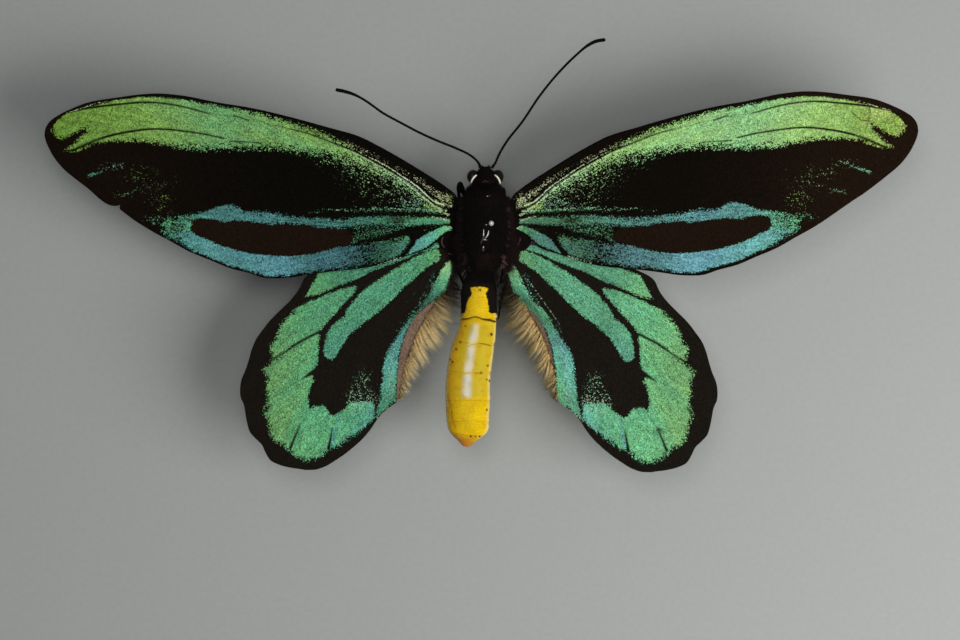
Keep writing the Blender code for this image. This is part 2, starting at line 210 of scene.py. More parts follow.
def add_rings(name, parts, finish, nodes, slot, attributes=None):
    """A piece of one or several closed skins, each given as a grid of rings."""
    points, faces, total = [], [], 0
    for rings in parts:
        points.append(rings.reshape(-1, 3))
        faces += ring_faces(*rings.shape[:2], total)
        total += rings.shape[0] * rings.shape[1]
    add_piece(name, np.vstack(points), faces, finish, nodes, slot, attributes or {})


def turned(profile, sides):
    """A profile of (height, radius) turned about an upright axis: a point at angle t lies at radius times
    the cosine and the sine of t."""
    profile = np.asarray(profile, float)
    t = np.linspace(0.0, 2.0 * math.pi, sides, endpoint=False)
    x = profile[:, 1:] * np.cos(t)
    y = profile[:, 1:] * np.sin(t)
    z = np.repeat(profile[:, :1], sides, axis=1)
    return np.dstack([x, y, z])


steel = Finish("pin_steel")
drawn = steel.noise(9.0, 3.0, (1.0, 1.0, 0.06))
steel_skin = steel.surface(
    Base_Color=steel.mix(drawn, tint(204, 201, 196), tint(238, 236, 231)),
    Metallic=0.55,
    Roughness=drawn * 0.15 + 0.22,
    Normal=steel.bump(drawn, 0.01),
)
steel_finish = steel.done(steel_skin)

arc = np.linspace(0.55, math.pi, 14)
knob = np.stack([PIN_TOP - PIN_HEAD_RADIUS * (1 + np.cos(arc)), PIN_HEAD_RADIUS * np.sin(arc)], axis=1)
shaft = [(PIN_LOW, 0.0), (PIN_LOW + 0.08, 0.05), (PIN_LOW + 1.6, PIN_RADIUS)]
shaft += [(z, PIN_RADIUS) for z in np.linspace(PIN_LOW + 2.0, PIN_TOP - 1.08, 12)]
add_rings("pin_polished", [turned(np.vstack([shaft, knob]), 32)], steel_finish, ["pin"], "pin_steel")

# The thorax. A hard barrel full of wing muscle, clothed in short black velvet hair that is rubbed off along
# the middle of the back, where the bare ridges shine. Longer hair spreads from its sides over the wing roots.
THORAX_SECTIONS = [
    (8.6, 0, 16.6, 0), (8.4, 1.7, 16.6, 1.8), (7.6, 3.2, 16.8, 3.4), (6, 4.5, 17, 4.7), (3.5, 5.1, 17, 5.2),
    (0.5, 5.25, 17, 5.35), (-2.5, 5.2, 17, 5.3), (-5.5, 4.8, 16.8, 4.9), (-8, 3.9, 16.5, 4.1),
    (-9.3, 2.6, 16.3, 2.9), (-9.6, 0, 16.2, 0),
]
BARE_RIDGES = [
    ([(-0.2, -1), (-0.2, -1.9), (-0.28, -2.8), (-0.55, -3.5), (-0.95, -4.3)], 0.2),
    ([(0.85, -1.2), (0.82, -1.9), (0.6, -2.45), (0.15, -2.95), (-0.4, -3.4)], 0.21),
    ([(-0.6, -3.4), (0, -3.3), (0.7, -3.4)], 0.2),
    ([(-0.2, -4.7), (-0.3, -5.3), (-0.38, -5.9)], 0.3),
    ([(0.12, -0.1), (0.36, -0.1), (0.6, -0.1)], 0.2),
    ([(2, -4.9), (2.1, -4.9), (2.22, -4.95)], 0.13),
    ([(-0.6, 6.8), (0, 6.4), (0.7, 6.05), (1.4, 6.35)], 0.13),
    ([(-2.1, 6.75), (-1.7, 6.7), (-1.3, 6.8)], 0.12),
    ([(-6.3, 2), (-5.9, 1.7), (-5.5, 1.2)], 0.1),
]
SCLERITES_AND_HEAD_GLINT = [
    ([(-8.9, -2.5), (-9.3, -3.3), (-9.2, -4.2), (-8.6, -5)], 0.16),
    ([(-7.9, -6.2), (-7.2, -6.35), (-6.4, -6.1)], 0.12),
    ([(7.7, -2.6), (7.6, -3.6), (7.2, -4.4), (6.4, -5.6)], 0.16),
    # A pale arc on the back of the head: a painted highlight standing in for the glint there.
    ([(-0.5, 9.15), (0.2, 9.5), (0.9, 9.2)], 0.08),
]
TUFTS = {"left": (-8.2, -5.6), "right": (-9.0, -6.2)}
SIGNS = {"left": -1.0, "right": 1.0}
BODY_SHIFT = np.array([BODY_X, 0.0, 0.0])
THORAX_HAIRS = 7600
BROWN_HAIRS = 520
# The rings of a hair, root first: the share of its length and the share of its radius at each.
STRAND_RINGS = [(0.0, 0.0), (0.0, 1.0), (0.5, 0.8), (1.0, 0.0)]
STRAND_SIDES = 3
draw = np.random.default_rng(41)


def smooth_line(points, count):
    """Evenly spaced points on a smooth curve through the given ones: a cubic between each two, whose
    slope at a point is that of the line between its neighbours."""
    knots = np.asarray(points, float)
    along = np.concatenate([[0.0], np.cumsum(np.linalg.norm(np.diff(knots, axis=0), axis=1))])
    slope = np.gradient(knots, along, axis=0)
    fine = np.linspace(0.0, along[-1], 12 * count)
    k = np.clip(np.searchsorted(along, fine, side="right") - 1, 0, len(knots) - 2)
    step = (along[k + 1] - along[k])[:, None]
    t = (fine - along[k])[:, None] / step
    curve = (2 * t**3 - 3 * t**2 + 1) * knots[k] + (t**3 - 2 * t**2 + t) * step * slope[k]
    curve += (3 * t**2 - 2 * t**3) * knots[k + 1] + (t**3 - t**2) * step * slope[k + 1]
    run = np.concatenate([[0.0], np.cumsum(np.linalg.norm(np.diff(curve, axis=0), axis=1))])
    even = np.linspace(0.0, run[-1], count)
    return np.stack([np.interp(even, run, curve[:, axis]) for axis in range(knots.shape[1])], axis=1)


def unit(vectors):
    """The same directions, each one long."""
    return vectors / np.linalg.norm(vectors, axis=-1, keepdims=True)


def rod(path, radii, sides, up=(0.0, 0.0, 1.0), squash=1.0):
    """Rings round a path: at angle t a point lies at the path's point plus the radius times the cosine of t
    across the path and squash times the sine of t over it."""
    path = np.asarray(path, float)
    heading = unit(np.gradient(path, axis=0))
    across = unit(np.cross(heading, up))
    over = np.cross(across, heading)
    t = np.linspace(0.0, 2.0 * math.pi, sides, endpoint=False)[None, :, None]
    reach = np.asarray(radii, float)[:, None, None]
    return path[:, None, :] + reach * (np.cos(t) * across[:, None, :] + squash * np.sin(t) * over[:, None, :])


def rounded(count, profile):
    """Radii along a rod from (share of its length, radius) pairs, with a round point at both ends."""
    share = np.linspace(0.0, 1.0, count)
    radii = np.interp(share, *zip(*profile))
    end = np.minimum(np.arange(count), np.arange(count)[::-1]) / 2.0
    return radii * np.sqrt(1.0 - (1.0 - np.minimum(end, 1.0)) ** 2)


def add_strands(name, roots, aims, lengths, radius, bend, finish, slot, nodes=(), shades=None):
    """Hairs of three sides: at share s one lies at its root plus its length times (s aim + s squared bend),
    and its radius falls from full at the root to nothing at the tip."""
    aims = unit(aims)
    across = unit(np.cross(aims, (0.11, 0.07, 1.0)))
    over = np.cross(across, aims)
    t = np.arange(STRAND_SIDES) * 2.0 * math.pi / STRAND_SIDES
    rings = []
    for s, width in STRAND_RINGS:
        axis = roots + lengths[:, None] * (s * aims + s * s * bend)
        turn = np.cos(t)[None, :, None] * across[:, None, :] + np.sin(t)[None, :, None] * over[:, None, :]
        rings.append(axis[:, None, :] + radius * width * turn)
    points = np.stack(rings, axis=1).reshape(-1, 3)
    each = len(STRAND_RINGS) * STRAND_SIDES
    pattern = np.array(ring_faces(len(STRAND_RINGS), STRAND_SIDES))
    faces = (pattern[None, :, :] + each * np.arange(len(roots))[:, None, None]).reshape(-1, 4).tolist()
    shades = draw.random(len(roots)) if shades is None else shades
    shares = np.tile(np.repeat([s for s, width in STRAND_RINGS], STRAND_SIDES), len(roots))
    layers = {"shade": np.repeat(shades, each), "share": shares}
    add_piece(name, points, faces, finish, nodes, slot, layers, 180.0)


def barrel(sections, count, sides):
    """A skin through sections of (y, half width, height of the middle, half height): at angle t the point
    lies at half width times the sine of t to the right and half height times its cosine up."""
    stations = smooth_line(sections, count)
    stations[[0, -1], 1] = 0.0
    stations[[0, -1], 3] = 0.0
    t = np.linspace(0.0, 2.0 * math.pi, sides, endpoint=False)[None, :]
    y, w, z, h = (stations[:, k][:, None] for k in range(4))
    return np.dstack([BODY_X + w * np.sin(t), y + 0.0 * t, z + h * np.cos(t)])


def thorax_top(x, y):
    """Height of the thorax's back over a place given from the body's middle line."""
    ys, ws, zs, hs = np.array(THORAX_SECTIONS)[::-1].T
    w, z, h = np.interp(y, ys, ws), np.interp(y, ys, zs), np.interp(y, ys, hs)
    return z + h * np.sqrt(np.clip(1.0 - (x / np.maximum(w, 0.01)) ** 2, 0.0, 1.0))


def thorax_half_width(y):
    """Half the thorax's width at a place along it."""
    return np.interp(y, *np.array(THORAX_SECTIONS)[::-1, :2].T)


def hair_finish(name, root, tip, roughness):
    """Hair whose colour goes from root to tip along each strand, with lighter and darker strands."""
    hair = Finish(name)
    shade, share = hair.attribute("shade"), hair.attribute("share")
    colour = hair.mix(share, root, tip)
    colour = hair.mix(1.0, colour, shade * 0.8 + 0.6, "MULTIPLY")
    skin = hair.surface(Base_Color=colour, Roughness=roughness + 0.1 * shade, Specular_IOR_Level=0.2)
    return hair.done(skin)


def horn_finish(name, dark, light, roughness, specular=0.5, index=1.5):
    """Hard insect skin: fine pits and faint wrinkles, glossy where it is worn."""
    horn = Finish(name)
    pits = horn.cells(0.16)[3]
    drift = horn.noise(0.8, 4.0)
    colour = horn.mix(drift, dark, light)
    bump = horn.bump(pits * 0.6 + drift, 0.02, 0.5)
    skin = horn.surface(
        Base_Color=colour, Roughness=roughness + drift * 0.2, Specular_IOR_Level=specular, IOR=index,
        Normal=bump,
    )
    return horn.done(skin)


velvet_finish = horn_finish("black_velvet", tint(8, 6, 6), tint(20, 14, 12), 0.75, 0.05)
shine_finish = horn_finish("black_horn", tint(12, 10, 9), tint(30, 24, 22), 0.1, 1.0, 1.9)
thorax_rings = barrel(THORAX_SECTIONS, 90, 96)
swell = np.sin(1.7 * thorax_rings[..., 1]) * np.sin(2.1 * thorax_rings[..., 0] + 0.6)
thorax_rings[..., 2] += 0.05 * swell
add_rings("thorax_back", [thorax_rings], velvet_finish, ["thorax"], "black_velvet")

ridges = []
for line, radius in BARE_RIDGES:
    line = smooth_line(line, 24)
    height = np.maximum(thorax_top(line[:, 0], line[:, 1]), 18.6) + 0.05
    path = np.column_stack([line[:, 0] + BODY_X, line[:, 1], height])
    radii = rounded(24, [(0.0, 0.5 * radius), (0.3, radius), (0.7, radius), (1.0, 0.6 * radius)])
    ridges.append(rod(path, radii, 16, squash=0.3))
add_rings("thorax_ridges", ridges, shine_finish, (), "black_horn")

y = draw.uniform(-9.4, 8.5, THORAX_HAIRS)
x = draw.uniform(-1.0, 1.0, THORAX_HAIRS) * thorax_half_width(y) * 0.985
bald = np.hypot((x - 0.15) / 1.05, (y + 2.4) / 4.1) < draw.uniform(0.85, 1.25, THORAX_HAIRS)
near_pin = np.hypot(x + BODY_X, y) < 0.75
x, y = x[~bald & ~near_pin], y[~bald & ~near_pin]
roots = np.column_stack([x + BODY_X, y, thorax_top(x, y) - 0.08])
aims = np.column_stack([0.16 * x, np.full(len(x), -0.9), np.full(len(x), 0.42)])
aims += draw.normal(0.0, 0.16, aims.shape)
black_hair = hair_finish("black_velvet_hair", tint(8, 6, 6), tint(24, 19, 17), 0.6)
bend = np.array([0.0, -0.1, -0.25])
lengths = draw.uniform(0.8, 1.7, len(x))
add_strands("thorax_hair", roots, aims, lengths, 0.045, bend, black_hair, "black_velvet")

x, y = draw.normal((0.1, -7.0), (1.4, 1.1), (BROWN_HAIRS, 2)).T
kept = (np.abs(x) < 3.0) & (y > -9.0) & (y < -5.9 + 0.9 * np.abs(x))
x, y = x[kept], y[kept]
roots = np.column_stack([x + BODY_X, y, thorax_top(x, y) + 0.1])
aims = draw.normal((0.0, -0.95, 0.3), 0.12, roots.shape)
brown_hair = hair_finish("brown_back_hair", tint(16, 10, 8), tint(50, 34, 28), 0.5)
lengths = draw.uniform(0.9, 1.8, len(x))
add_strands("thorax_brown_hair", roots, aims, lengths, 0.045, bend, brown_hair, "black_velvet")


def side_hair(name, sign, forward, outward, lengths, finish, amount, rise=0.0):
    """Hair from the flank of the thorax over the wing roots: it starts on the back near the flank and
    runs out and back, sinking towards the wing."""
    y = draw.uniform(*forward, amount)
    reach = draw.uniform(*outward, amount)
    x = sign * np.minimum(thorax_half_width(y) * 0.97, reach)
    lift = np.maximum(thorax_top(x, y) - 0.2, 17.6)
    backward = -0.35 - 0.5 * draw.random(amount)
    aims = np.column_stack([np.full(amount, 0.95 * sign), backward, np.full(amount, -0.12)])
    aims += draw.normal(0.0, 0.14, aims.shape)
    roots = np.column_stack([x + BODY_X, y, np.minimum(lift, 19.2) + rise])
    droop = np.array([0.0, -0.12, -0.12])
    add_strands(name, roots, aims, draw.uniform(*lengths, amount), 0.05, droop, finish, "black_velvet")


dusky_hair = hair_finish("dusky_root_hair", tint(10, 7, 6), tint(36, 24, 22), 0.6)
rust_hair = hair_finish("rust_hair", tint(52, 30, 26), tint(132, 98, 92), 0.6)
for side, sign in SIGNS.items():
    side_hair("root_hair_front_" + side, sign, (-2.0, 6.6), (4.4, 5.2), (1.3, 2.9), dusky_hair, 1500)
    side_hair("root_hair_back_" + side, sign, (-8.6, -1.4), (3.8, 5.2), (1.6, 4.4), dusky_hair, 1700)
    side_hair("root_tuft_" + side, sign, TUFTS[side], (3.0, 5.2), (0.5, 1.6), rust_hair, 90, 0.5)
    side_hair("flank_hair_" + side, sign, (-4.5, 4.5), (4.2, 5.2), (0.6, 1.5), rust_hair, 70, 0.25)

membrane_finish = horn_finish("pale_membrane", tint(52, 34, 32), tint(92, 66, 62), 0.35, 0.4)
# Pale plates at the wing roots, and a pale arc on the head that is a painted highlight.
bars = []
for line, radius in SCLERITES_AND_HEAD_GLINT:
    line = smooth_line(line, 18)
    path = np.column_stack([line[:, 0] + BODY_X, line[:, 1], np.where(line[:, 1] > 9.0, 18.45, 17.95)])
    bars.append(rod(path, rounded(18, [(0.0, radius), (1.0, 0.6 * radius)]), 10))
add_rings("wing_root_plates_and_head_glint", bars, membrane_finish, (), "black_horn")

# The abdomen. A soft tube of yellow ring plates, each overlapping the next; it has dried a little sunken,
# and curves to the left. Its front is black and hairy, with black shoulders, and its tip is orange brown.
ABDOMEN_SECTIONS = [
    (-10, -1.1, -1.1, 16.1), (-10.2, -3.4, 1.6, 16.1), (-11.6, -4.3, 2.2, 16), (-14, -5, 2.6, 15.9),
    (-18, -5.1, 2.6, 15.7), (-22, -5.6, 2.5, 15.4), (-26, -7.1, 2.2, 15.1), (-30, -8, 1.6, 14.9),
    (-34, -8.5, 1.2, 14.8), (-38, -8.5, 1.2, 14.7), (-42, -8.3, 0.9, 14.6), (-44.2, -8, 0.8, 14.5),
    (-45.6, -7.1, 0, 14.4), (-46.8, -5.8, -1.6, 14.3), (-48, -4.6, -3.1, 14.3), (-48.3, -3.8, -3.8, 14.3),
]
RING_JOINTS = [
    (-13.6, 0.3), (-20.3, 1), (-25.8, 0.55), (-32, 0.5), (-38, 0.4), (-42.5, 0.45), (-45.7, 0.35),
]
SADDLE = [
    (-1.1, -13.35), (-2.4, -13.5), (-3.2, -13.7), (-2.7, -14.6), (-3.1, -15.5), (-3.9, -17), (-4.15, -19.4),
    (-4.3, -24), (1.4, -24), (0.95, -19.4), (0.9, -18), (0.5, -16), (0.2, -14.9), (0.8, -13.9),
    (0.2, -13.5),
]
DARK_LINES = [
    ([(-5.1, -20.5), (-4, -20.4), (-3, -20.1), (-2, -19.9), (-1.2, -20.1), (-0.5, -20.4), (1, -20.5),
      (2.4, -20.95)], 0.14, 0.16, 1),
    ([(0, -20.5), (1.4, -20.7), (2.2, -20.95)], 0.2, 0.24, 1),
    ([(-1.3, -25.65), (0.2, -25.85), (1.3, -26.15)], 0.07, 0.12, 0.8),
    ([(-2.2, -32), (-0.5, -32.15)], 0.07, 0.1, 0.6),
    ([(-8.1, -37), (-7.5, -39), (-7.15, -40.4), (-7.05, -42.5), (-6.3, -44)], 0.1, 0.1, 0.55),
    ([(-7.8, -25.9), (-5.2, -25.3), (-3.6, -25.6)], 0.05, 0.07, 0.4),
    ([(-8.2, -31.6), (-4.8, -31.9)], 0.06, 0.06, 0.35),
    ([(-8.3, -38.1), (-2, -38), (1, -38.2)], 0.05, 0.07, 0.35),
    ([(-7, -42.6), (-3, -42.4), (0.6, -42.6)], 0.06, 0.06, 0.4),
    ([(-6.3, -45.2), (-3.4, -45.7), (-0.6, -45.8)], 0.07, 0.07, 0.5),
]
DOTS = [
    (1.5, -23.7, 0.28), (-1, -14.1, 0.22), (-6.2, -26.9, 0.2), (-5.3, -25.4, 0.2), (-7, -29.7, 0.2),
    (-7.5, -29.2, 0.16), (0.7, -30.5, 0.2), (-0.8, -32, 0.2), (1.1, -33.8, 0.24), (0.5, -33.5, 0.16),
    (0.5, -40.1, 0.2), (-3, -45.8, 0.22), (-2, -45.9, 0.16), (-1.1, -45.9, 0.18), (-4.2, -21.9, 0.15),
]
STAINS = [
    ((-6.3, -34.4), (0.9, 2.2)), ((-7.4, -41.0), (0.7, 2.5)), ((-3.0, -45.2), (2.4, 0.5)),
    ((-7.2, -29.0), (0.6, 1.6)),
]
# The line of a painted highlight: a whitish stripe painted along the top of the abdomen where the overhead
# lamp's gleam lies.
GLEAM = [(-2.2, -21.4), (-2.6, -24.6), (-3.1, -28.5), (-3.6, -32.0), (-3.8, -34.5), (-3.9, -37.6)]
SADDLE_HAIRS = 1100
SHOULDER_HAIRS = 500
stations = smooth_line(ABDOMEN_SECTIONS, 300)
t = np.linspace(0.0, 2.0 * math.pi, 84, endpoint=False)[None, :]
y, left, right, z = (stations[:, k][:, None] for k in range(4))
half = (right - left) / 2.0 + 0.0 * t
taper = np.clip(half / 2.5, 0.0, 1.0)
for joint, depth in RING_JOINTS:
    ahead = y - joint - 0.22 * np.sin(2.0 * t + joint) - 0.1 * np.sin(5.0 * t)
    half += 0.16 * depth * taper * np.where(ahead > 0.0, np.exp(-ahead / 1.1), 0.0)
    half -= 0.3 * depth * taper * np.where(ahead <= 0.0, np.exp(ahead / 0.5), 0.0)
half += 0.05 * taper * np.sin(0.9 * y + 2.0 * t) * np.sin(3.0 * t + 0.35 * y)
half[[0, -1]] = 0.0
x = (left + right) / 2.0 + half * np.sin(t)
flattened = np.sign(np.cos(t)) * np.abs(np.cos(t)) ** 0.66
abdomen_rings = np.dstack([BODY_X + x, y + 0.0 * t, z + 0.94 * half * flattened])
plan = np.dstack([x, y + 0.0 * t])


def nearness(plan, line):
    """For each point of the plan, its distance from a line of straight pieces and how far along the line,
    from 0 to 1, the nearest place lies."""
    line = np.asarray(line, float)
    run = np.concatenate([[0.0], np.cumsum(np.linalg.norm(np.diff(line, axis=0), axis=1))])
    nearest = np.full(plan.shape[:-1], 1e9)
    share = np.zeros_like(nearest)
    for a, b, start, end in zip(line, line[1:], run, run[1:]):
        t = np.clip((plan - a) @ (b - a) / (end - start) ** 2, 0.0, 1.0)
        gap = np.linalg.norm(plan - a - t[..., None] * (b - a), axis=-1)
        share = np.where(gap < nearest, (start + t * (end - start)) / run[-1], share)
        nearest = np.minimum(nearest, gap)
    return nearest, share


def depth_inside(plan, outline):
    """Distance from a closed outline, positive inside it: a point is inside when a ray from it to the
    right crosses the outline an odd number of times."""
    outline = np.asarray(outline, float)
    closed = np.vstack([outline, outline[:1]])
    inside = np.zeros(plan.shape[:-1], bool)
    x, y = plan[..., 0], plan[..., 1]
    for a, b in zip(closed, closed[1:]):
        if a[1] != b[1]:
            inside ^= ((a[1] > y) != (b[1] > y)) & (x < a[0] + (y - a[1]) * (b[0] - a[0]) / (b[1] - a[1]))
    distance = nearness(plan, closed)[0]
    return np.where(inside, distance, -distance)


def stripe(plan, line, start, end, soft):
    """A stripe along a line: its half width goes from start to end and its edges fade over soft."""
    gap, share = nearness(plan, line)
    return np.clip(0.5 + (start + share * (end - start) - gap) / soft, 0.0, 1.0)


def fade(value, start, width):
    """0 at the start and 1 at the start plus the width, which may be negative, with a straight ramp
    between them."""
    return np.clip((value - start) / width, 0.0, 1.0)


def bell(value, middle, width):
    """e to the power of minus the square of the distance from the middle, measured in widths."""
    return np.exp(-(((value - middle) / width) ** 2))


out, fore = plan[..., 0], plan[..., 1]
black = np.clip(0.5 - depth_inside(plan, SADDLE) / 0.7, 0.0, 1.0) * fade(fore, -19.4, 0.5)
marks = np.zeros(black.shape)
upper_side = np.clip(2.0 * np.cos(t) + 0.4, 0.0, 1.0)
for line, start, end, strength in DARK_LINES:
    marks = np.maximum(marks, strength * stripe(plan, line, start, end, 0.14) * upper_side)
for dot_x, dot_y, radius in DOTS:
    far = np.hypot(out - dot_x, 0.75 * (fore - dot_y))
    marks = np.maximum(marks, np.clip(0.5 + (radius - far) / 0.15, 0.0, 1.0) * upper_side)
abdomen_rings[..., 2] -= 0.13 * marks
side_share = (out - (left + right) / 2.0) / np.maximum((right - left) / 2.0, 0.3)
# The left flank is painted more orange, a painted shade for the side turned away from the right-hand lamp;
# the stains and a thin band along the right edge are ochre too.
ochre = fade(side_share, -0.42, -0.4) * np.interp(-y, [14, 20, 30, 38, 44], [0.3, 0.7, 0.8, 0.45, 0.7])
for (stain_x, stain_y), (wide, tall) in STAINS:
    stain = bell(out, stain_x, wide) * bell(fore, stain_y, tall)
    ochre = np.maximum(ochre, 0.42 * stain * upper_side)
ochre = np.maximum(ochre, 0.35 * fade(side_share, 0.75, 0.2))
tip = np.clip((-45.5 - fore) / 1.6 - 0.16 * (out + 3.8), 0.0, 1.0)

ring_plates = Finish("abdomen_yellow")
drift = ring_plates.noise(0.35, 4.0)
wrinkle = ring_plates.noise(1.5, 4.0, (0.35, 1.0, 0.35))
pits = ring_plates.cells(0.2)[3]
polish = ring_plates.attribute("polish")
web = ring_plates.cells(0.55, (1.0, 1.6, 1.0))[3] * (1.0 - polish)
warm = ring_plates.mix(drift.step(0.5, 0.35), tint(206, 170, 4), tint(232, 194, 12))
warm = ring_plates.mix(polish * 0.75, warm, tint(180, 158, 28))
# Ochre stains, and painted shade on the left flank.
warm = ring_plates.mix(ring_plates.attribute("ochre"), warm, tint(240, 176, 14))
# Painted highlight: the base colour turns whitish grey along the gleam line.
film = ring_plates.attribute("film") * (ring_plates.noise(0.8, 4.0) * 1.2 + 0.2)
warm = ring_plates.mix(film.least(1.0) * 0.9, warm, tint(178, 182, 182))
warm = ring_plates.mix(ring_plates.attribute("rim"), warm, tint(240, 222, 128))
warm = ring_plates.mix(ring_plates.attribute("tip"), warm, tint(188, 118, 34))
spent = ring_plates.noise(0.7, 5.0).step(0.6, 0.16) * 0.4
warm = ring_plates.mix(spent, warm, tint(172, 118, 14))
warm = ring_plates.mix(web.step(0.4, 0.2) * 0.22, warm, tint(140, 104, 16))
shut = ring_plates.attribute("marks")
ragged = ring_plates.noise(1.6, 3.0)
dusk = (ring_plates.attribute("black") + (ragged - 0.5) * 1.1).step(0.5, 0.3)
ink = ring_plates.mix(drift, tint(8, 6, 5), tint(22, 17, 12))
colour = ring_plates.mix(shut, warm, tint(62, 42, 12))
colour = ring_plates.mix(dusk, colour, ink)
relief = ring_plates.bump(wrinkle + pits * 0.25, 0.05, 0.5)
gloss = ring_plates.surface(
    Base_Color=colour, Roughness=wrinkle * 0.12 + 0.5 - polish * 0.34 + dusk * 0.3, Specular_IOR_Level=0.2,
    Coat_Weight=polish * 0.6, Coat_Roughness=0.2, Normal=relief,
)
polish = fade(fore, -20.9, -0.9) * fade(fore, -37.9, 0.9)
rim = fade(np.abs(side_share), 0.86, 0.1) * np.minimum(fade(fore, -17.0, -2.0), 0.85)
# Where the painted highlight lies: a stripe along the gleam line on the upper side, broken at two ring
# joints.
film = stripe(plan, GLEAM, 0.4, 0.85, 1.3) * upper_side * fade(fore, -20.9, -2.0) * fade(fore, -37.8, 1.2)
film *= 1.0 - 0.6 * bell(fore, -25.7, 0.5) - 0.6 * bell(fore, -32.0, 0.4)
layers = {
    "black": black, "marks": marks, "ochre": ochre, "tip": tip, "polish": polish, "rim": rim, "film": film,
}
add_rings("abdomen_plates", [abdomen_rings], ring_plates.done(gloss), ["abdomen"], "abdomen_yellow", layers)

y = draw.uniform(-13.3, -9.0, SADDLE_HAIRS)
x = draw.uniform(-4.6, 2.9, SADDLE_HAIRS) * np.interp(-y, [9.0, 10.5, 13.0], [0.75, 1.0, 1.0])
shoulder_y = draw.uniform(-19.0, -13.3, SHOULDER_HAIRS)
on_left = draw.random(SHOULDER_HAIRS) < 0.5
left_x = draw.uniform(-4.9, -4.0, SHOULDER_HAIRS)
right_x = draw.uniform(1.0, 2.5, SHOULDER_HAIRS)
x = np.concatenate([x, np.where(on_left, left_x, right_x)])
y = np.concatenate([y, shoulder_y])
middle = np.interp(-y, [10.0, 14.0, 20.0], [-0.9, -1.2, -1.4])
lift = 15.9 + 3.5 * np.sqrt(np.clip(1.0 - ((x - middle) / 3.9) ** 2, 0.02, 1.0))
roots = np.column_stack([x + BODY_X, y, lift - 0.1])
aims = np.column_stack([0.12 * (x - middle), np.full(len(x), -0.95), np.full(len(x), 0.2)])
aims += draw.normal(0.0, 0.12, aims.shape)
lengths = draw.uniform(0.7, 1.5, len(x))
add_strands("abdomen_hair", roots, aims, lengths, 0.04, bend, black_hair, "black_velvet")

# The head. A small hard capsule with black hair, two big faceted eyes edged behind with creamy scales, a
# pair of short hairy palps, and the tongue, a fine tube coiled like a watch spring.
HEAD_CENTRE = (0.15, 10.45, 16.8)
HEAD_RADII = (2.15, 1.85, 1.75)
COLLAR_CENTRE = (0.1, 7.15, 16.5)
COLLAR_RADII = (4.05, 2.35, 2.4)
EYES = {"left": (-2.48, 10.5, 16.7), "right": (2.78, 10.5, 16.7)}
EYE_RADII = (1.36, 1.52, 1.36)
EYE_RIMS = {
    "left": [(-1.65, 10.85), (-2.1, 10.55), (-2.5, 10.1), (-2.8, 9.6), (-2.97, 9.1)],
    "right": [(2.1, 10.9), (2.5, 10.6), (2.95, 10.1), (3.25, 9.5), (3.4, 8.95)],
}
PALP_PATH = [
    (0.78, 10.9, 13.9), (0.8, 11.7, 13.9), (0.78, 12.3, 14.3), (0.74, 12.55, 15.2), (0.7, 12.5, 15.9),
]
PALP_STEPS = 30
PALP_HAIRS = 260
COIL_CENTRE = (0.15, 11.0, 13.1)
COIL_STEPS = 130


def egg(centre, radii, count, sides, brow=0.0):
    """An ellipsoid from its back pole to its front pole; the brow swells its front by a bell curve."""
    lat = np.linspace(-math.pi / 2, math.pi / 2, count)[:, None]
    t = np.linspace(0.0, 2.0 * math.pi, sides, endpoint=False)[None, :]
    x = radii[0] * np.cos(lat) * np.sin(t)
    y = radii[1] * np.sin(lat) + 0.0 * t
    y = y + brow * np.clip(np.sin(lat), 0.0, 1.0) ** 2 * np.exp(-((x / 1.2) ** 2))
    z = radii[2] * np.cos(lat) * np.cos(t)
    return np.dstack([centre[0] + BODY_X + x, centre[1] + y, centre[2] + z])


def egg_hair(name, centre, radii, amount, keep, lengths, finish):
    """Hairs that stand out from an ellipsoid and lean back, rooted only where keep says so."""
    around = unit(draw.normal(0.0, 1.0, (amount, 3)))
    roots = np.array(centre) + around * np.array(radii) * 0.98
    wanted = keep(around, roots)
    aims = around[wanted] + draw.normal(0.0, 0.2, (wanted.sum(), 3)) + np.array([0.0, -0.35, 0.1])
    lengths = draw.uniform(*lengths, wanted.sum())
    add_strands(name, roots[wanted] + BODY_SHIFT, aims, lengths, 0.035, bend, finish, "black_velvet")


def above_flanks(around, roots):
    """True where a hair's root lies on the collar's back or its upper flanks."""
    return around[:, 2] > -0.35


capsule = egg(HEAD_CENTRE, HEAD_RADII, 60, 72, 0.42)
add_rings("head_capsule", [capsule], velvet_finish, ["head"], "black_velvet")
add_rings("collar_skin", [egg(COLLAR_CENTRE, COLLAR_RADII, 50, 72)], velvet_finish, (), "black_velvet")
egg_hair("collar_hair", COLLAR_CENTRE, COLLAR_RADII, 3200, above_flanks, (0.3, 0.75), black_hair)
for side, sign in SIGNS.items():
    web = egg((sign * 7.2, -3.1, 17.75), (3.0, 2.7, 0.3), 30, 48)
    add_rings("wing_root_web_" + side, [web], velvet_finish, (), "black_velvet")
eye_finish = Finish("eye_brown")
facet = eye_finish.cells(0.07)
lens = eye_finish.mix(facet[1], tint(10, 7, 4), tint(27, 19, 10))
dome = eye_finish.bump(1.0 - facet[3], 0.012, 0.6)
eye_skin = eye_finish.surface(
    Base_Color=lens, Roughness=0.3 + 0.1 * facet[0], Specular_IOR_Level=0.2, Normal=dome
)
eye_done = eye_finish.done(eye_skin)
rim_finish = Finish("eye_rim")
flakes = rim_finish.cells(0.11)
cream = rim_finish.mix(flakes[1], tint(206, 200, 184), tint(236, 232, 220))
rim_skin = rim_finish.surface(Base_Color=cream, Roughness=0.6, Normal=rim_finish.bump(flakes[3], 0.02, 0.7))
rim_done = rim_finish.done(rim_skin)
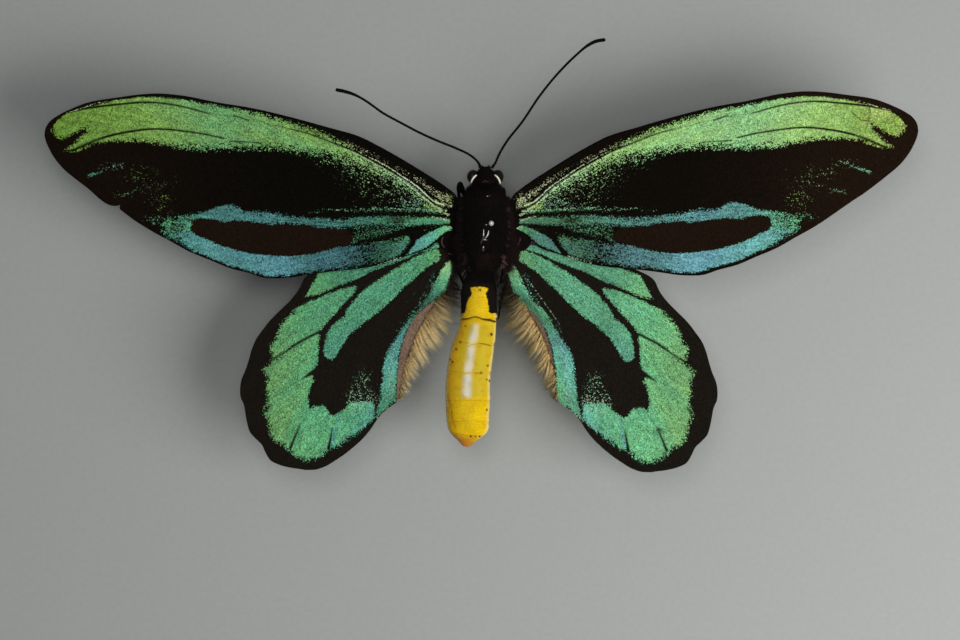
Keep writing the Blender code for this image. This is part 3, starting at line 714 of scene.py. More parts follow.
for side, centre in EYES.items():
    add_rings("eye_globe_" + side, [egg(centre, EYE_RADII, 48, 56)], eye_done, ["eye_" + side], "eye_brown")
    line = smooth_line(EYE_RIMS[side], 26)
    offset = (line - np.array(centre[:2])) / np.array(EYE_RADII[:2])
    height = centre[2] + EYE_RADII[2] * np.sqrt(np.clip(1.0 - (offset**2).sum(axis=1), 0.05, 1.0))
    path = np.column_stack([line[:, 0] + BODY_X, line[:, 1], height + 0.06])
    band = rod(path, rounded(26, [(0.0, 0.15), (0.4, 0.2), (1.0, 0.17)]), 12)
    add_rings("eye_rim_" + side, [band], rim_done, (), "eye_brown")
    middle_x = HEAD_CENTRE[0] + BODY_X
    path = smooth_line([(middle_x + SIGNS[side] * px, py, pz) for px, py, pz in PALP_PATH], PALP_STEPS)
    palp = rod(path, rounded(PALP_STEPS, [(0.0, 0.34), (0.7, 0.36), (1.0, 0.2)]), 16, (1.0, 0.0, 0.0))
    add_rings("palp_skin_" + side, [palp], velvet_finish, ["palp_" + side], "black_velvet")
    pick = draw.integers(1, PALP_STEPS - 1, PALP_HAIRS)
    around = unit(draw.normal(0.0, 1.0, (PALP_HAIRS, 3)))
    aims = around + 0.8 * unit(np.gradient(path, axis=0))[pick]
    lengths = draw.uniform(0.25, 0.6, PALP_HAIRS)
    roots = path[pick] + 0.28 * around
    add_strands("palp_hair_" + side, roots, aims, lengths, 0.03, np.zeros(3), black_hair, "black_velvet")

turn = np.linspace(0.0, 3.5 * math.pi, COIL_STEPS)
reach = np.linspace(1.15, 0.32, COIL_STEPS)
coil_y = COIL_CENTRE[1] - reach * np.sin(turn)
coil_z = COIL_CENTRE[2] + reach * np.cos(turn)
coil = np.column_stack([np.full(COIL_STEPS, COIL_CENTRE[0] + BODY_X), coil_y, coil_z])
radii = rounded(COIL_STEPS, [(0.0, 0.16), (1.0, 0.09)]) * (1.0 + 0.05 * np.sin(np.arange(COIL_STEPS) * 1.6))
tongue = rod(coil, radii, 12, (1.0, 0.0, 0.0))
add_rings("tongue_coil", [tongue], shine_finish, ["proboscis"], "black_horn")


def between_eyes(around, roots):
    """True where a hair's root lies on the upper side of the head and off both eyes."""
    clear = (around[:, 2] > -0.3) & (np.abs(around[:, 0]) < 0.92)
    for centre in EYES.values():
        clear &= np.hypot(roots[:, 0] - centre[0], roots[:, 1] - centre[1]) > 1.1
    return clear


def nape(around, roots):
    """True where a hair's root lies on the back of the head, above its middle."""
    return between_eyes(around, roots) & (around[:, 1] < -0.25) & (around[:, 2] > 0.1)


egg_hair("head_hair", HEAD_CENTRE, HEAD_RADII, 1900, between_eyes, (0.3, 0.6), black_hair)
egg_hair("nape_hair", HEAD_CENTRE, HEAD_RADII, 1500, nape, (0.35, 0.7), brown_hair)

# The feelers. Fine black rods of many short joints that thicken to a slim club; each sits in a small socket
# on the brow.
ANTENNA_PATHS = {
    "left": [
        (-0.9, 12.35, 17.6), (-1.3, 13.4, 17.9), (-2, 14.2, 18.1), (-3, 15, 18.3), (-6, 16.5, 18.6),
        (-10, 18.1, 18.8), (-14, 19.9, 18.9), (-18, 22, 18.9), (-22, 24.2, 18.8), (-26, 27, 18.7),
        (-28, 28.1, 18.6), (-30, 28.8, 18.5), (-32.3, 29.3, 18.4),
    ],
    "right": [
        (1.5, 12.3, 17.6), (2.3, 13.4, 17.9), (3, 15, 18.2), (4.7, 17.9, 18.5), (8, 22.1, 18.8),
        (12, 28, 19), (16, 32.9, 19), (20, 36.9, 18.9), (22, 38.6, 18.8), (24, 39.7, 18.7),
        (26.2, 40.1, 18.6),
    ],
}
FEELER_STEPS = 420
FEELER_PROFILE = [
    (0, 0.36), (0.015, 0.32), (0.03, 0.26), (0.84, 0.26), (0.93, 0.38), (0.985, 0.4), (1, 0.32),
]
JOINT_STEPS = 7.0
feeler_finish = horn_finish("feeler_black", tint(3, 3, 3), tint(10, 8, 7), 0.6, 0.1)
joints = 1.0 + 0.07 * np.sin(np.arange(FEELER_STEPS) * 2.0 * math.pi / JOINT_STEPS)
for side, path in ANTENNA_PATHS.items():
    route = smooth_line(np.array(path) + BODY_SHIFT, FEELER_STEPS)
    feeler = rod(route, rounded(FEELER_STEPS, FEELER_PROFILE) * joints, 14)
    add_rings("feeler_" + side, [feeler], feeler_finish, ["antenna_" + side], "black_horn")

# The legs. Six thin black legs, folded back under the body; only the knees of the front pair reach past
# the head. Each has a thigh, a shin with a row of spines, and a foot of five short joints with two claws.
LEG_PATHS = {
    "foreleg_left": [
        (-1.8, 5, 11.7), (-3.4, 6, 12.2), (-4.6, 7.2, 13.4), (-4.95, 8.4, 14.5), (-5.3, 9.1, 15),
        (-5.6, 8.6, 14.8), (-5.6, 7, 14), (-5.5, 4.6, 12.8), (-5.1, 0.6, 11.2), (-3.6, -2, 10.9),
    ],
    "foreleg_right": [
        (1.9, 4.6, 11.4), (2.9, 5.6, 11.8), (3.6, 6.8, 13.2), (3.85, 7.6, 14.4), (4.1, 7.9, 14.6),
        (4.25, 7.2, 14.3), (4.4, 6, 13.4), (4.7, 4, 12.4), (4.9, 0.6, 11.2), (3.6, -2, 10.9),
    ],
    "midleg_right": [
        (2.6, 0.6, 11.5), (3.9, 1.6, 10.6), (5.6, 2.5, 10), (6.6, 2.3, 9.8), (6.7, 1, 9.7),
        (5.5, -3.5, 9.6), (4.2, -8.5, 9.8), (3.4, -12.5, 9.9),
    ],
    "hindleg_right": [
        (2.6, -3.4, 11.5), (4, -5, 11.2), (5.3, -6.9, 11.6), (5.9, -8.1, 11.8), (5.8, -9.4, 11.7),
        (4.8, -12.2, 11), (3.6, -16.5, 10.2), (3, -20.5, 10),
    ],
}
for name in ("midleg", "hindleg"):
    LEG_PATHS[name + "_left"] = [(-px, py, pz) for px, py, pz in LEG_PATHS[name + "_right"]]
LEG_PROFILE = [
    (0, 0.4), (0.06, 0.46), (0.26, 0.42), (0.33, 0.34), (0.36, 0.4), (0.4, 0.32), (0.66, 0.26), (0.7, 0.3),
    (0.72, 0.2), (0.77, 0.24), (0.78, 0.17), (0.83, 0.22), (0.84, 0.16), (0.89, 0.2), (0.9, 0.15),
    (0.95, 0.19), (0.96, 0.14), (1, 0.15),
]
LEG_STEPS = 150
LEG_SPINES = 110
for name, path in LEG_PATHS.items():
    route = smooth_line(np.array(path) + BODY_SHIFT, LEG_STEPS)
    stout = 1.3 if name == "foreleg_left" else 1.0
    leg = rod(route, stout * rounded(LEG_STEPS, LEG_PROFILE), 14)
    add_rings(name + "_limb", [leg], feeler_finish, [name], "black_horn")
    pick = draw.integers(int(0.34 * LEG_STEPS), LEG_STEPS - 3, LEG_SPINES)
    heading = unit(np.gradient(route, axis=0))
    around = unit(draw.normal(0.0, 1.0, (LEG_SPINES, 3)))
    around = unit(around - heading[pick] * (around * heading[pick]).sum(axis=1, keepdims=True))
    claws = np.array([[0.5, 0.0, -0.3], [-0.5, 0.0, -0.3]]) + 0.8 * heading[-1]
    roots = np.vstack([route[pick] + 0.12 * around, route[[-2, -2]]])
    aims = np.vstack([around + 1.1 * heading[pick], claws])
    lengths = np.concatenate([draw.uniform(0.25, 0.6, LEG_SPINES), [0.7, 0.7]])
    add_strands(name + "_spines", roots, aims, lengths, 0.035, np.zeros(3), black_hair, "black_horn")

# The forewings. Dry membrane on stiff hollow veins, covered with overlapping scales: velvet black ones, and
# green to blue ones that shimmer. Each grows from the side of the thorax and lies over its hindwing.
FOREWING_LEADING = [
    (5.75, 5.6), (6.6, 6.9), (7.5, 7.6), (9.6, 9.1), (14, 11.9), (18.3, 14.5), (22.6, 16.9), (27, 19.1),
    (33.5, 21), (40, 22.8), (50.8, 25.35), (57.3, 26.4), (66, 28.05), (70.3, 28.4), (74.6, 28.2),
    (79, 27.6), (86.6, 26.2), (89.8, 24.9), (92, 23.8), (94.1, 22.3), (95, 20.8), (95.2, 19.4),
]
FOREWING_TRAILING = [
    (5.75, 0.8), (6.4, -0.6), (7.2, -1.3), (8, -1.7), (9.3, -2.2), (10.2, -3.4), (12, -5), (14, -5.8),
    (18, -7.1), (22, -8.5), (26, -9.3), (30, -9.8), (34, -10.2), (38.9, -10.9), (42.1, -11.4),
    (45.4, -11.6), (47.6, -11.5), (50.8, -10.5), (55.1, -9.4), (59.5, -7.6), (63.8, -5.85), (68.1, -3.5),
    (72.5, -1.1), (76.8, 1.7),
]
FOREWING_MARGIN = [
    (85.5, 7.6), (88.3, 9.75), (90.9, 11.9), (92.8, 14.1), (94.1, 16.25), (95, 18.4), (95.2, 19.4),
]
WHOLE_MARGIN = [(79.0, 3.2), (80.5, 4.2), (83.3, 6.0)]
TORN_MARGIN = [
    (78.3, 2.9), (79, 3.55), (78.6, 4.3), (79.2, 4.15), (80.5, 4.1), (81.8, 4.55), (83.3, 5.6),
]
WING_ROOTS = {"forewing": np.array([7.0, 3.0]), "hindwing": np.array([20.0, -30.0])}
# How each wing is set: turned by degrees, stretched, and shifted outwards and forwards.
WING_SETS = {
    "forewing_left": (0.0, 1.0, (0.0, 0.0)),
    "forewing_right": (0.8, 0.988, (-0.1, -0.1)),
    "hindwing_left": (0.0, 1.0, (0.0, 0.0)),
    "hindwing_right": (-0.6, 1.0, (-2.45, -0.3)),
}
MEMBRANE_HALF = 0.035
VEIN_HEIGHT = 0.11
PLEAT_DEPTH = 0.13
PLEAT_REACH = 2.4

# Veins of the forewing, root first, each with its half width at the root and at its end.
FOREWING_VEINS = [
    ([(6.6, 6.4), (14, 11.5), (27, 18.6), (40, 22.4), (57, 26.1), (70.3, 28.1), (86.6, 25.9)], 0.34, 0.2),
    ([(7.5, 6), (20, 13.5), (30, 18.2), (40, 21.8), (55, 25.3)], 0.24, 0.12),
    ([(9, 3.6), (11.6, 5.1), (13.4, 6.9), (16, 9), (20, 11.5), (24, 13.75), (28, 15.85), (32, 17.4),
      (35.1, 18.6), (38.7, 19.9), (43, 20.8), (48, 21.8), (51, 22.6)], 0.26, 0.16),
    ([(51, 22.6), (56, 23.2), (62, 24.7), (66, 25.6), (70, 26.2), (74, 26.5), (78, 26.3), (82, 26),
      (86, 25.5), (90, 24.4)], 0.15, 0.12),
    ([(43, 20.8), (48, 19.2), (54, 18.1), (58, 19.1), (64.8, 20.2), (70, 20.7), (75, 20.4), (79.1, 19.7),
      (83.3, 18.55), (87.4, 16.8), (90, 15.8), (94, 15)], 0.18, 0.12),
    ([(43, 20.8), (47.5, 17.6), (47, 13), (45.6, 9.6), (44, 8)], 0.14, 0.14),
    ([(47.4, 13.2), (60, 14.6), (75, 13.2), (85.5, 10.8), (91.4, 12.6)], 0.16, 0.1),
    ([(46, 10), (60, 10), (74, 8), (80, 6.2), (84.6, 6.9)], 0.16, 0.1),
    ([(8.5, 2), (14, 2.4), (22, 2.7), (30, 2.3), (36, 3.6), (44, 8), (58, 5.7), (68, 3.7),
      (77, 2.2)], 0.3, 0.1),
    ([(36, 3.6), (46, 4.6), (58, 1.3), (66, -1), (71, -1.7)], 0.16, 0.1),
    ([(8, 0.3), (12, -0.6), (18, -1.8), (26, -3.4), (34, -5.4), (46, -8.4), (50, -10.2)], 0.3, 0.12),
]
# Which of those veins show as bare dark lines, with the half width of the line from its start to its end.
UPPER_LINE = [
    (59.6, 24.05), (62.7, 24.9), (66.8, 25.85), (70, 26.3), (73.4, 26.5), (78.1, 26.15), (82.2, 25.7),
    (86.1, 25.2), (89, 24.6),
]
LOWER_LINE = [
    (56.2, 18.65), (60.6, 19.6), (64.8, 20.2), (68.9, 20.65), (72, 20.7), (75, 20.4), (79.1, 19.7),
    (83.3, 18.55), (87.4, 16.8), (89.2, 16),
]
ROOT_LINE = [
    (42.1, 20.75), (38.7, 19.9), (35.1, 18.6), (32, 17.4), (28, 15.85), (24, 13.75), (20, 11.5), (16, 9),
    (13.4, 6.9), (11.6, 5.1), (9.6, 3.85), (8.4, 3.4),
]
BARE_LINES = [
    (UPPER_LINE, 0.16, 0.26), (LOWER_LINE, 0.17, 0.29), (ROOT_LINE, 0.15, 0.24),
    ([(51, 22.6), (54.3, 23.7)], 0.17, 0.13), ([(48.6, 17.75), (51.5, 17.9), (55, 18.1)], 0.1, 0.17),
    ([(58.1, 24.6), (58.6, 24.35)], 0.1, 0.1),
]
# The green band: its edge below the black front rim, root first, then its ragged inner edge, tip first.
BAND_FRONT = [
    (32, 18.3), (36, 19.8), (40, 21.2), (44, 22.6), (50, 24.15), (56, 25.35), (60, 26.1), (65, 27),
    (70, 27.55), (75, 27.5), (79, 26.95), (82, 26.4), (85, 25.7), (88, 24.95), (90, 24.15), (92, 22.95),
    (93.4, 21.2),
]
BAND_BACK = [
    (93.3, 20), (93, 19.4), (92, 18.9), (91, 18.7), (89, 19.7), (87.4, 20.7), (86, 21.3), (85.9, 20.3),
    (87.5, 18.6), (89.5, 16.8), (90.8, 16), (88, 16.3), (86, 17), (84, 17.8), (80, 18.2), (74, 18.4),
    (70, 17.7), (66, 17), (60, 16.8), (54, 16.8), (48, 16.9), (46, 17), (42, 16.6), (38, 15.8), (34, 15.6),
    (31, 16.8),
]
# The blue ring behind the black middle, and the patch of brown scent scales that it encloses.
RING_FRONT = [
    (69.2, 0.9), (68, 1.7), (64, 2.2), (60, 2.9), (58, 3.7), (56, 4.2), (54.5, 4.4), (53, 3.6), (52, 2.8),
    (50, 2.9), (48, 2.9), (46, 2.4), (42, 1.8), (36, 1.4), (32, 1.1), (28, 1.5), (24, 1.9), (18, 1.7),
    (10, 1.5), (7.6, 1.3),
]
RING_BACK = [
    (7.6, 0.3), (12, 0.1), (16, -0.2), (19, -0.5), (22, -0.2), (25, 0), (28, -0.3), (31, -0.6), (40, -3),
    (31, -4.9), (28, -4.4), (24, -3.9), (20, -3.3), (16.6, -2.5), (16.1, -3.6), (17, -5), (19, -7.1),
    (22, -8), (26, -8.8), (30, -9.3), (34, -9.7), (38.9, -10.3), (42.1, -10.9), (45.4, -11.05),
    (47.6, -10.9), (50.8, -9.95), (55.1, -8.85), (59.5, -7.05), (63.8, -5.3), (66.5, -3.7), (68.4, -2.6),
    (69.4, -1.4), (69.6, -0.2),
]
THIN_PATCH = [
    (17, -0.3), (22, 0.2), (28.4, 0), (28.2, -2.3), (28.8, -4.2), (25, -3.5), (22, -2.6), (18, -1.3),
]
BASAL_PATCH = [
    (7, -1), (7.4, -0.3), (8.6, -0.2), (10.5, -1), (13, -2.2), (14.6, -3.3), (15.4, -4.6), (16.9, -6.5),
    (14.5, -5.6), (12.4, -4.7), (10.6, -3.4), (9.6, -2.2), (8.2, -1.4),
]
SCRATCHES = [
    [(85.6, 24.9), (85.7, 23.0), (85.2, 21.5), (84.9, 20.2)],
    [(81.6, 24.1), (82.85, 22.85), (83.8, 22.2), (86.3, 21.9)],
]
# Round hazes of scales: middle, reach, cover, tone and brightness.
HAZE_SPOTS = [
    ((11.0, 4.2), (2.2, 1.2), 0.75, 0.88, 1.25), ((15.0, 4.8), (4.0, 1.5), 0.4, 0.48, 0.8),
    ((8.0, 5.5), (1.0, 1.3), 0.6, 1.0, 1.15), ((74.0, 10.6), (4.6, 2.2), 0.14, 0.8, 0.65),
    ((69.5, 4.8), (3.4, 2.4), 0.17, 0.8, 0.7), ((71.2, 1.0), (2.2, 0.9), 0.4, 0.5, 0.75),
    ((70.0, 10.0), (6.0, 3.0), 0.06, 0.85, 0.5),
]
# Streaks of scales: the line, what stroke() needs to spread it, its tone and its brightness.
SCALE_STREAKS = [
    ([(7.6, 4.4), (8.4, 5.3), (9.6, 6.2), (11.2, 7.4), (13, 8.8), (15, 10.1), (17, 11.2),
      (20, 12.9)], (0.75, 0.45, 1, (0.5, 0.13)), 1, 0.68),
    ([(20, 12.9), (24, 14.9), (28, 16.8), (31, 18.1)], (0.5, 0.6, 1, (0.13, 0.34)), 0.97, 0.66),
    ([(27, 16.3), (31, 17.9), (35, 19.4), (39, 20.8)], (0.3, 0.7, 0.9, (0.3, 0.8)), 0.8, 0.8),
    ([(9, 3.1), (22, 3.4), (38, 2.9)], (0.4, 0.14, 0.6, (0.75, 0.36)), 0.5, 0.75),
    ([(85.6, 10.5), (83, 11.5), (80.4, 12.6), (77, 13.6)], (0.28, 0.1, 0.5, (0.7, 0.1)), 0.4, 0.8),
    ([(80, 6.1), (77, 6.9), (74, 7.8)], (0.25, 0.1, 0.5, (0.45, 0.2)), 0.5, 0.7),
]
DARK_DOTS = [(90.4, 21.4), (85.4, 22.4), (80.7, 24.8), (69.7, 24.6), (43.6, 21.2), (91.4, 21.0)]
BLACK_STREAKS = [
    ([(8.5, 2), (14, 2.35), (22, 2.55), (30, 2.2), (36, 2.1)], 0.36, 0.3, 0.4),
    ([(8, 0.05), (12, -0.5), (15.5, -1.15), (18, -1.7), (22, -2.7), (27, -3.7)], 0.1, 0.35, 0.5),
    ([(12, -0.55), (15.8, -1.2), (19, -1.9)], 0.35, 0.5, 0.8),
    ([(14.6, -1.8), (15.6, -3.5), (16.6, -5.2), (18.4, -7.1)], 0.45, 0.4, 0.4),
]
# Pale lines: half width at the start and at the end, and strength at both.
PALE_LINES = [
    ([(8.8, 4.3), (10.9, 5.1), (12.2, 6.1), (14, 7.8), (16, 9.3), (18, 10.6), (20, 11.95), (24, 14.2),
      (28, 16.2), (31, 17.5), (36, 19.6)], 0.16, 0.1, (1, 0.36)),
    ([(9.4, 3.3), (10.8, 4), (12, 5), (14, 6.5), (16, 8.25), (18, 9.6), (20, 10.95), (22, 12.15),
      (24, 13.25), (27, 14.9), (30, 16.2)], 0.14, 0.1, (0.95, 0.4)),
    ([(10, 3.2), (20, 3.5), (34, 3.1)], 0.16, 0.16, (0.36, 0.3)),
    ([(8.3, 3), (9.6, 3), (11, 3.3)], 0.16, 0.1, (0.6, 0.3)),
    ([(7.9, 0.9), (10, 1.55), (15, 1.85)], 0.3, 0.08, (0.55, 0.3)),
    ([(7.9, 2.2), (10, 2.95), (14, 3.05)], 0.3, 0.08, (0.6, 0.3)),
    ([(7.4, -0.7), (8.6, -0.7)], 0.5, 0.3, (0.4, 0.3)),
    ([(7.4, 4.2), (8, 5.1), (9.6, 6.3), (12, 8), (15, 10), (20, 12.9)], 0.5, 0.3, (0.36, 0.14)),
    ([(91, 24.1), (88, 24.9), (84, 26.25), (79, 26.9), (72, 27.3)], 0.1, 0.2, (0.5, 0.2)),
    ([(89.6, 16.75), (86, 18.4), (82, 19.75), (76, 20.9)], 0.22, 0.12, (0.36, 0.16)),
    ([(18, -7), (21, -8.05), (24, -8.85)], 0.12, 0.1, (0.7, 0.5)),
]
# The part of the underside that holds its long spots.
UNDER_FIELD = [(48, 21), (84, 23.5), (88, 15), (77, 5.5), (60, -3.5), (40, -7.5), (30, -2)]
SCENT_PATCH = [
    (63.6, -0.5), (63.3, 0.8), (62.5, 1.2), (61, 1.4), (59, 1.3), (57, 0.7), (56, 0.6), (54, 0.9),
    (50, 0.6), (46, 0), (43, 0.4), (40, 0.1), (36, -0.5), (32, -0.8), (30, -1.1), (28.4, -2.3),
    (28.2, -3.3), (29, -4), (33, -5.2), (37, -6.2), (41, -6.8), (44, -6.8), (50, -6.3), (54, -5.4),
    (58, -4.2), (60, -3.1), (62.5, -2.2), (63.3, -1.5),
]


class Scaling:
    """The scales on one face of a wing: how densely coloured ones stand, from 0 to 1, their tone on the
    palette, their brightness, which on the right wings is raised as painted light, a whitish frost that on
    the right wings also holds a painted sheen, bare dark lines, pale lines, brown scales and the buff fold.
    Ray and reach are the direction and the distance from the wing's root; the scales lie in rows along
    them."""

    def __init__(self, plan):
        self.plan = plan
        self.out = plan[..., 0]
        self.fore = plan[..., 1]
        self.reach = 0.12 * np.hypot(self.out - 7.0, self.fore)
        self.ray = 35.0 * np.arctan2(self.fore, self.out - 4.0)
        self.tone = np.full(self.out.shape, 0.5)
        self.light = np.ones(self.out.shape)
        for layer in ("cover", "frost", "line", "pale", "brown", "fold"):
            setattr(self, layer, np.zeros(self.out.shape))

    def along(self, places, values):
        """Values that change with the distance out from the body."""
        return np.interp(self.out, places, values)

    def back(self, places, values):
        """Values that change with the distance back from the pin."""
        return np.interp(-self.fore, places, values)

    def stroke(self, line, start, end, soft, strength=(1.0, 1.0)):
        """A stripe whose strength also changes along its line."""
        share = nearness(self.plan, line)[1]
        return stripe(self.plan, line, start, end, soft) * (strength[0] + share * (strength[1] - strength[0]))

    def patch(self, outline, soft):
        """1 inside an outline and 0 outside it, with an edge that fades over soft."""
        return np.clip(0.5 + depth_inside(self.plan, outline) / soft, 0.0, 1.0)

    def cloud(self, centre, reach, strength):
        """A round haze of scales that thins outwards like a bell curve."""
        return strength * bell(self.out, centre[0], reach[0]) * bell(self.fore, centre[1], reach[1])

    def add(self, layer, values):
        """Raises one of the layers to the values where they are higher."""
        setattr(self, layer, np.maximum(getattr(self, layer), values))

    def lay(self, cover, tone, light=1.0):
        """Puts scales on top where they stand more densely than those already there."""
        more = cover > self.cover
        self.tone = np.where(more, tone, self.tone)
        self.light = np.where(more, light, self.light)
        self.cover = np.maximum(self.cover, cover)

    def layers(self):
        names = ("cover", "tone", "light", "frost", "line", "pale", "brown", "fold", "ray", "reach")
        return {name: getattr(self, name).ravel() for name in names}


def forewing_upper(plan, side):
    """The upper face: the green band, a haze of scales along the root vein, the ring round the brown scent
    scales, and the bare and pale lines. The right wing is a little stretched and scratched, and is painted
    lighter, with a painted sheen, for the stronger light on that side."""
    if side == "right":
        plan = WING_ROOTS["forewing"] + (plan - WING_ROOTS["forewing"]) * 1.014
    wing = Scaling(plan)
    front = wing.fore > wing.along([10, 20, 40, 60, 80, 95], [5.5, 11, 18.5, 21.5, 22, 21])
    soft_front = wing.along([30, 44, 56, 64, 95], [2.6, 1.8, 1.2, 0.6, 0.3])
    soft_back = wing.along([30, 36, 46, 60, 72, 80, 84], [3.8, 3.8, 2.6, 3.0, 2.0, 1.1, 1.4])
    band = wing.patch(BAND_FRONT + BAND_BACK, np.where(front, soft_front, soft_back))
    places = [8, 14, 24, 34, 46, 58, 68, 80, 94]
    tone = wing.along(places, [0.93, 0.78, 0.8, 0.72, 0.67, 0.61, 0.72, 0.83, 0.94])
    tone = tone - 0.012 * np.clip(18.5 - wing.fore, 0.0, 9.0) * wing.along([12, 60], [1.6, 1.0])
    wing.lay(band, tone)
    behind = wing.fore < wing.along(*np.array(ROOT_LINE)[::-1].T)
    gap = nearness(plan, ROOT_LINE)[0]
    close = np.exp(-((gap / wing.along([10, 14, 20, 30, 40], [1.5, 1.9, 2.3, 2.7, 3.2])) ** 1.6))
    sparse = 0.5 * np.exp(-gap / wing.along([12, 20, 26, 32, 40], [4.4, 5.4, 5.0, 3.2, 2.4]))
    haze = wing.along([7.5, 9, 14, 18, 24, 30, 37, 42], [0.0, 0.68, 0.56, 0.64, 0.7, 0.9, 0.92, 0.0])
    wing.lay(haze * np.maximum(close, sparse) * behind, tone, 1.24 - 0.34 * fade(gap, 0.0, 3.5))
    for centre, reach, cover, shade, light in HAZE_SPOTS:
        wing.lay(wing.cloud(centre, reach, cover), shade, light)
    for line, spread, shade, light in SCALE_STREAKS:
        wing.lay(wing.stroke(line, *spread), shade, light)
    soft_ring = wing.along([8, 16, 20, 30, 40, 60, 64, 69], [0.4, 0.9, 1.2, 1.1, 0.9, 0.5, 0.9, 2.0])
    ring = wing.patch(RING_FRONT + RING_BACK, soft_ring)
    scent_edge = np.where(wing.fore > -1.0, 0.5, 0.3)
    ring = ring * np.clip(0.5 - depth_inside(plan, SCENT_PATCH) / scent_edge, 0.0, 1.0)
    lower = wing.fore < wing.along([28, 64], [-4.0, -1.5])
    places = [17, 22, 27, 32, 38, 44, 54, 64, 69]
    tone = np.where(
        lower,
        wing.along(places, [0.4, 0.44, 0.32, 0.24, 0.28, 0.2, 0.28, 0.34, 0.46]),
        wing.along([8, 18, 24, 34, 48, 58, 68], [0.48, 0.5, 0.42, 0.34, 0.3, 0.34, 0.5]),
    )
    light = np.where(
        lower,
        wing.along([17, 22, 26, 32, 38, 44, 60, 68], [0.7, 0.4, 0.38, 0.54, 0.56, 0.95, 0.92, 0.8]),
        wing.along([14, 20, 30, 38, 44, 56, 66], [0.9, 0.56, 0.6, 0.54, 0.74, 0.66, 0.95]),
    )
    thin = 1.0 - 0.5 * lower * bell(wing.out, 25.5, 3.6)
    thin *= np.where(
        lower,
        wing.along([30, 36, 44], [0.8, 0.82, 0.95]),
        wing.along([12, 20, 30, 50, 58, 66], [0.95, 0.84, 0.74, 0.8, 0.9, 0.8]),
    )
    thin -= 0.28 * bell(wing.out, 66.5, 2.5) + 0.3 * bell(wing.out, 19.0, 2.0) * ~lower
    wing.lay(ring * thin, tone, light)
    wing.lay(wing.patch(THIN_PATCH, 0.8) * 0.34, 0.48, 0.55)
    tone = wing.along([8, 11, 15], [0.55, 0.4, 0.34])
    wing.lay(wing.patch(BASAL_PATCH, 0.35), tone, wing.along([7, 10, 15], [1.35, 1.3, 1.0]))
    rubbed = wing.cloud((18.6, 0.8), (1.4, 0.5), 0.8)
    worn = wing.along([44, 60, 80], [0.1, 0.4, 1.0] if side == "right" else [0.0, 0.12, 0.5])
    wing.brown = np.maximum(wing.patch(SCENT_PATCH, 0.4), rubbed).clip(worn)
    wing.add("line", rubbed)
    for line, start, end in BARE_LINES:
        wing.add("line", wing.stroke(smooth_line(line, 5 * len(line)), start, end, 0.22))
    for dot in DARK_DOTS:
        wing.add("line", wing.cloud(dot, (0.22, 0.2), 0.9))
    for line, start, end, soft in BLACK_STREAKS:
        wing.add("line", wing.stroke(line, start, end, soft))
    faint = smooth_line([(59.6, 24.05), (55.0, 23.5), (50.0, 22.5), (46.0, 21.6), (42.1, 20.75)], 40)
    wing.add("line", wing.stroke(faint, 0.06, 0.08, 0.22, (0.5, 0.6)))
    creases = [([(54.6, -8.0), (53.9, -8.5), (53.0, -8.5), (52.3, -8.0)], 0.1, 0.12)]
    creases += [([(x, -7.1), (x + 0.15, -7.7)], 0.1, 0.06) for x in (44.2, 45.1, 46.3, 48.0, 49.4)]
    for line, start, end in creases:
        wing.add("line", wing.stroke(line, start, end, 0.25, (0.7, 0.7)))
    for line, start, end, strength in PALE_LINES:
        wing.add("pale", wing.stroke(smooth_line(line, 5 * len(line)), start, end, 0.22, strength))
    wing.add("pale", wing.cloud((72.0, 8.5), (7.0, 4.5), 0.17))
    wing.add("pale", wing.cloud((80.5, 12.6), (5.0, 1.4), 0.22))
    wing.add("pale", wing.cloud((78.0, 6.6), (4.0, 1.2), 0.2))
    wing.frost = 0.2 * fade(wing.out, 36.0, -16.0) * fade(wing.fore, 3.0, 2.0)
    # The right wing has scratches. It is also painted lighter, most in the band, with a whitish painted sheen
    # and a painted sheen stroke on the ring, standing in for the stronger light on that side. Near the root,
    # shaded makes it darker.
    if side == "right":
        for line in SCRATCHES:
            wing.add("line", wing.stroke(line, 0.15, 0.12, 0.2, (0.8, 0.65)))
        banded = fade(wing.fore, 4.0, 3.0) * wing.along([26, 40], [0.0, 1.0])
        shaded = 1.0 - 0.5 * fade(wing.out, 24.0, -9.0) * (1.0 - fade(wing.fore, 1.0, 2.0))
        painted_lighter = wing.along([30, 36, 44, 52, 60], [1.0, 1.06, 1.1, 1.03, 1.05])
        wing.light = wing.light * (1.14 + 0.16 * banded) * shaded * painted_lighter
        sheen = wing.stroke([(53.0, -8.0), (58.0, -6.6), (63.0, -4.4), (66.0, -2.0)], 1.6, 1.6, 2.0)
        wing.light = wing.light + 0.1 * sheen
        wing.frost = wing.frost + 0.03 + 0.08 * banded * wing.along([80, 90], [1.0, 0.2])
        wing.tone = wing.tone + wing.along([76, 84, 91], [0.0, 0.09, 0.06]) * banded
        wing.tone = wing.tone - 0.07 * bell(wing.out, 49.0, 4.0) * (wing.fore < 5.0)
    return wing


def forewing_lower(plan, from_vein):
    """The underside, black with a row of long green-blue spots between the veins."""
    wing = Scaling(plan)
    middle = wing.patch(UNDER_FIELD, 3.0)
    outline = FOREWING_LEADING + (FOREWING_TRAILING + FOREWING_MARGIN)[::-1]
    edge = fade(depth_inside(plan, outline), 3.2, 1.0)
    gap = 1.0 - 0.85 * bell(wing.out - 0.25 * wing.fore, 58.0, 3.0)
    cover = fade(from_vein, 0.7, 0.9) * middle * edge * gap
    wing.lay(cover, wing.along([30, 60, 90], [0.3, 0.42, 0.62]), 0.9)
    return wing


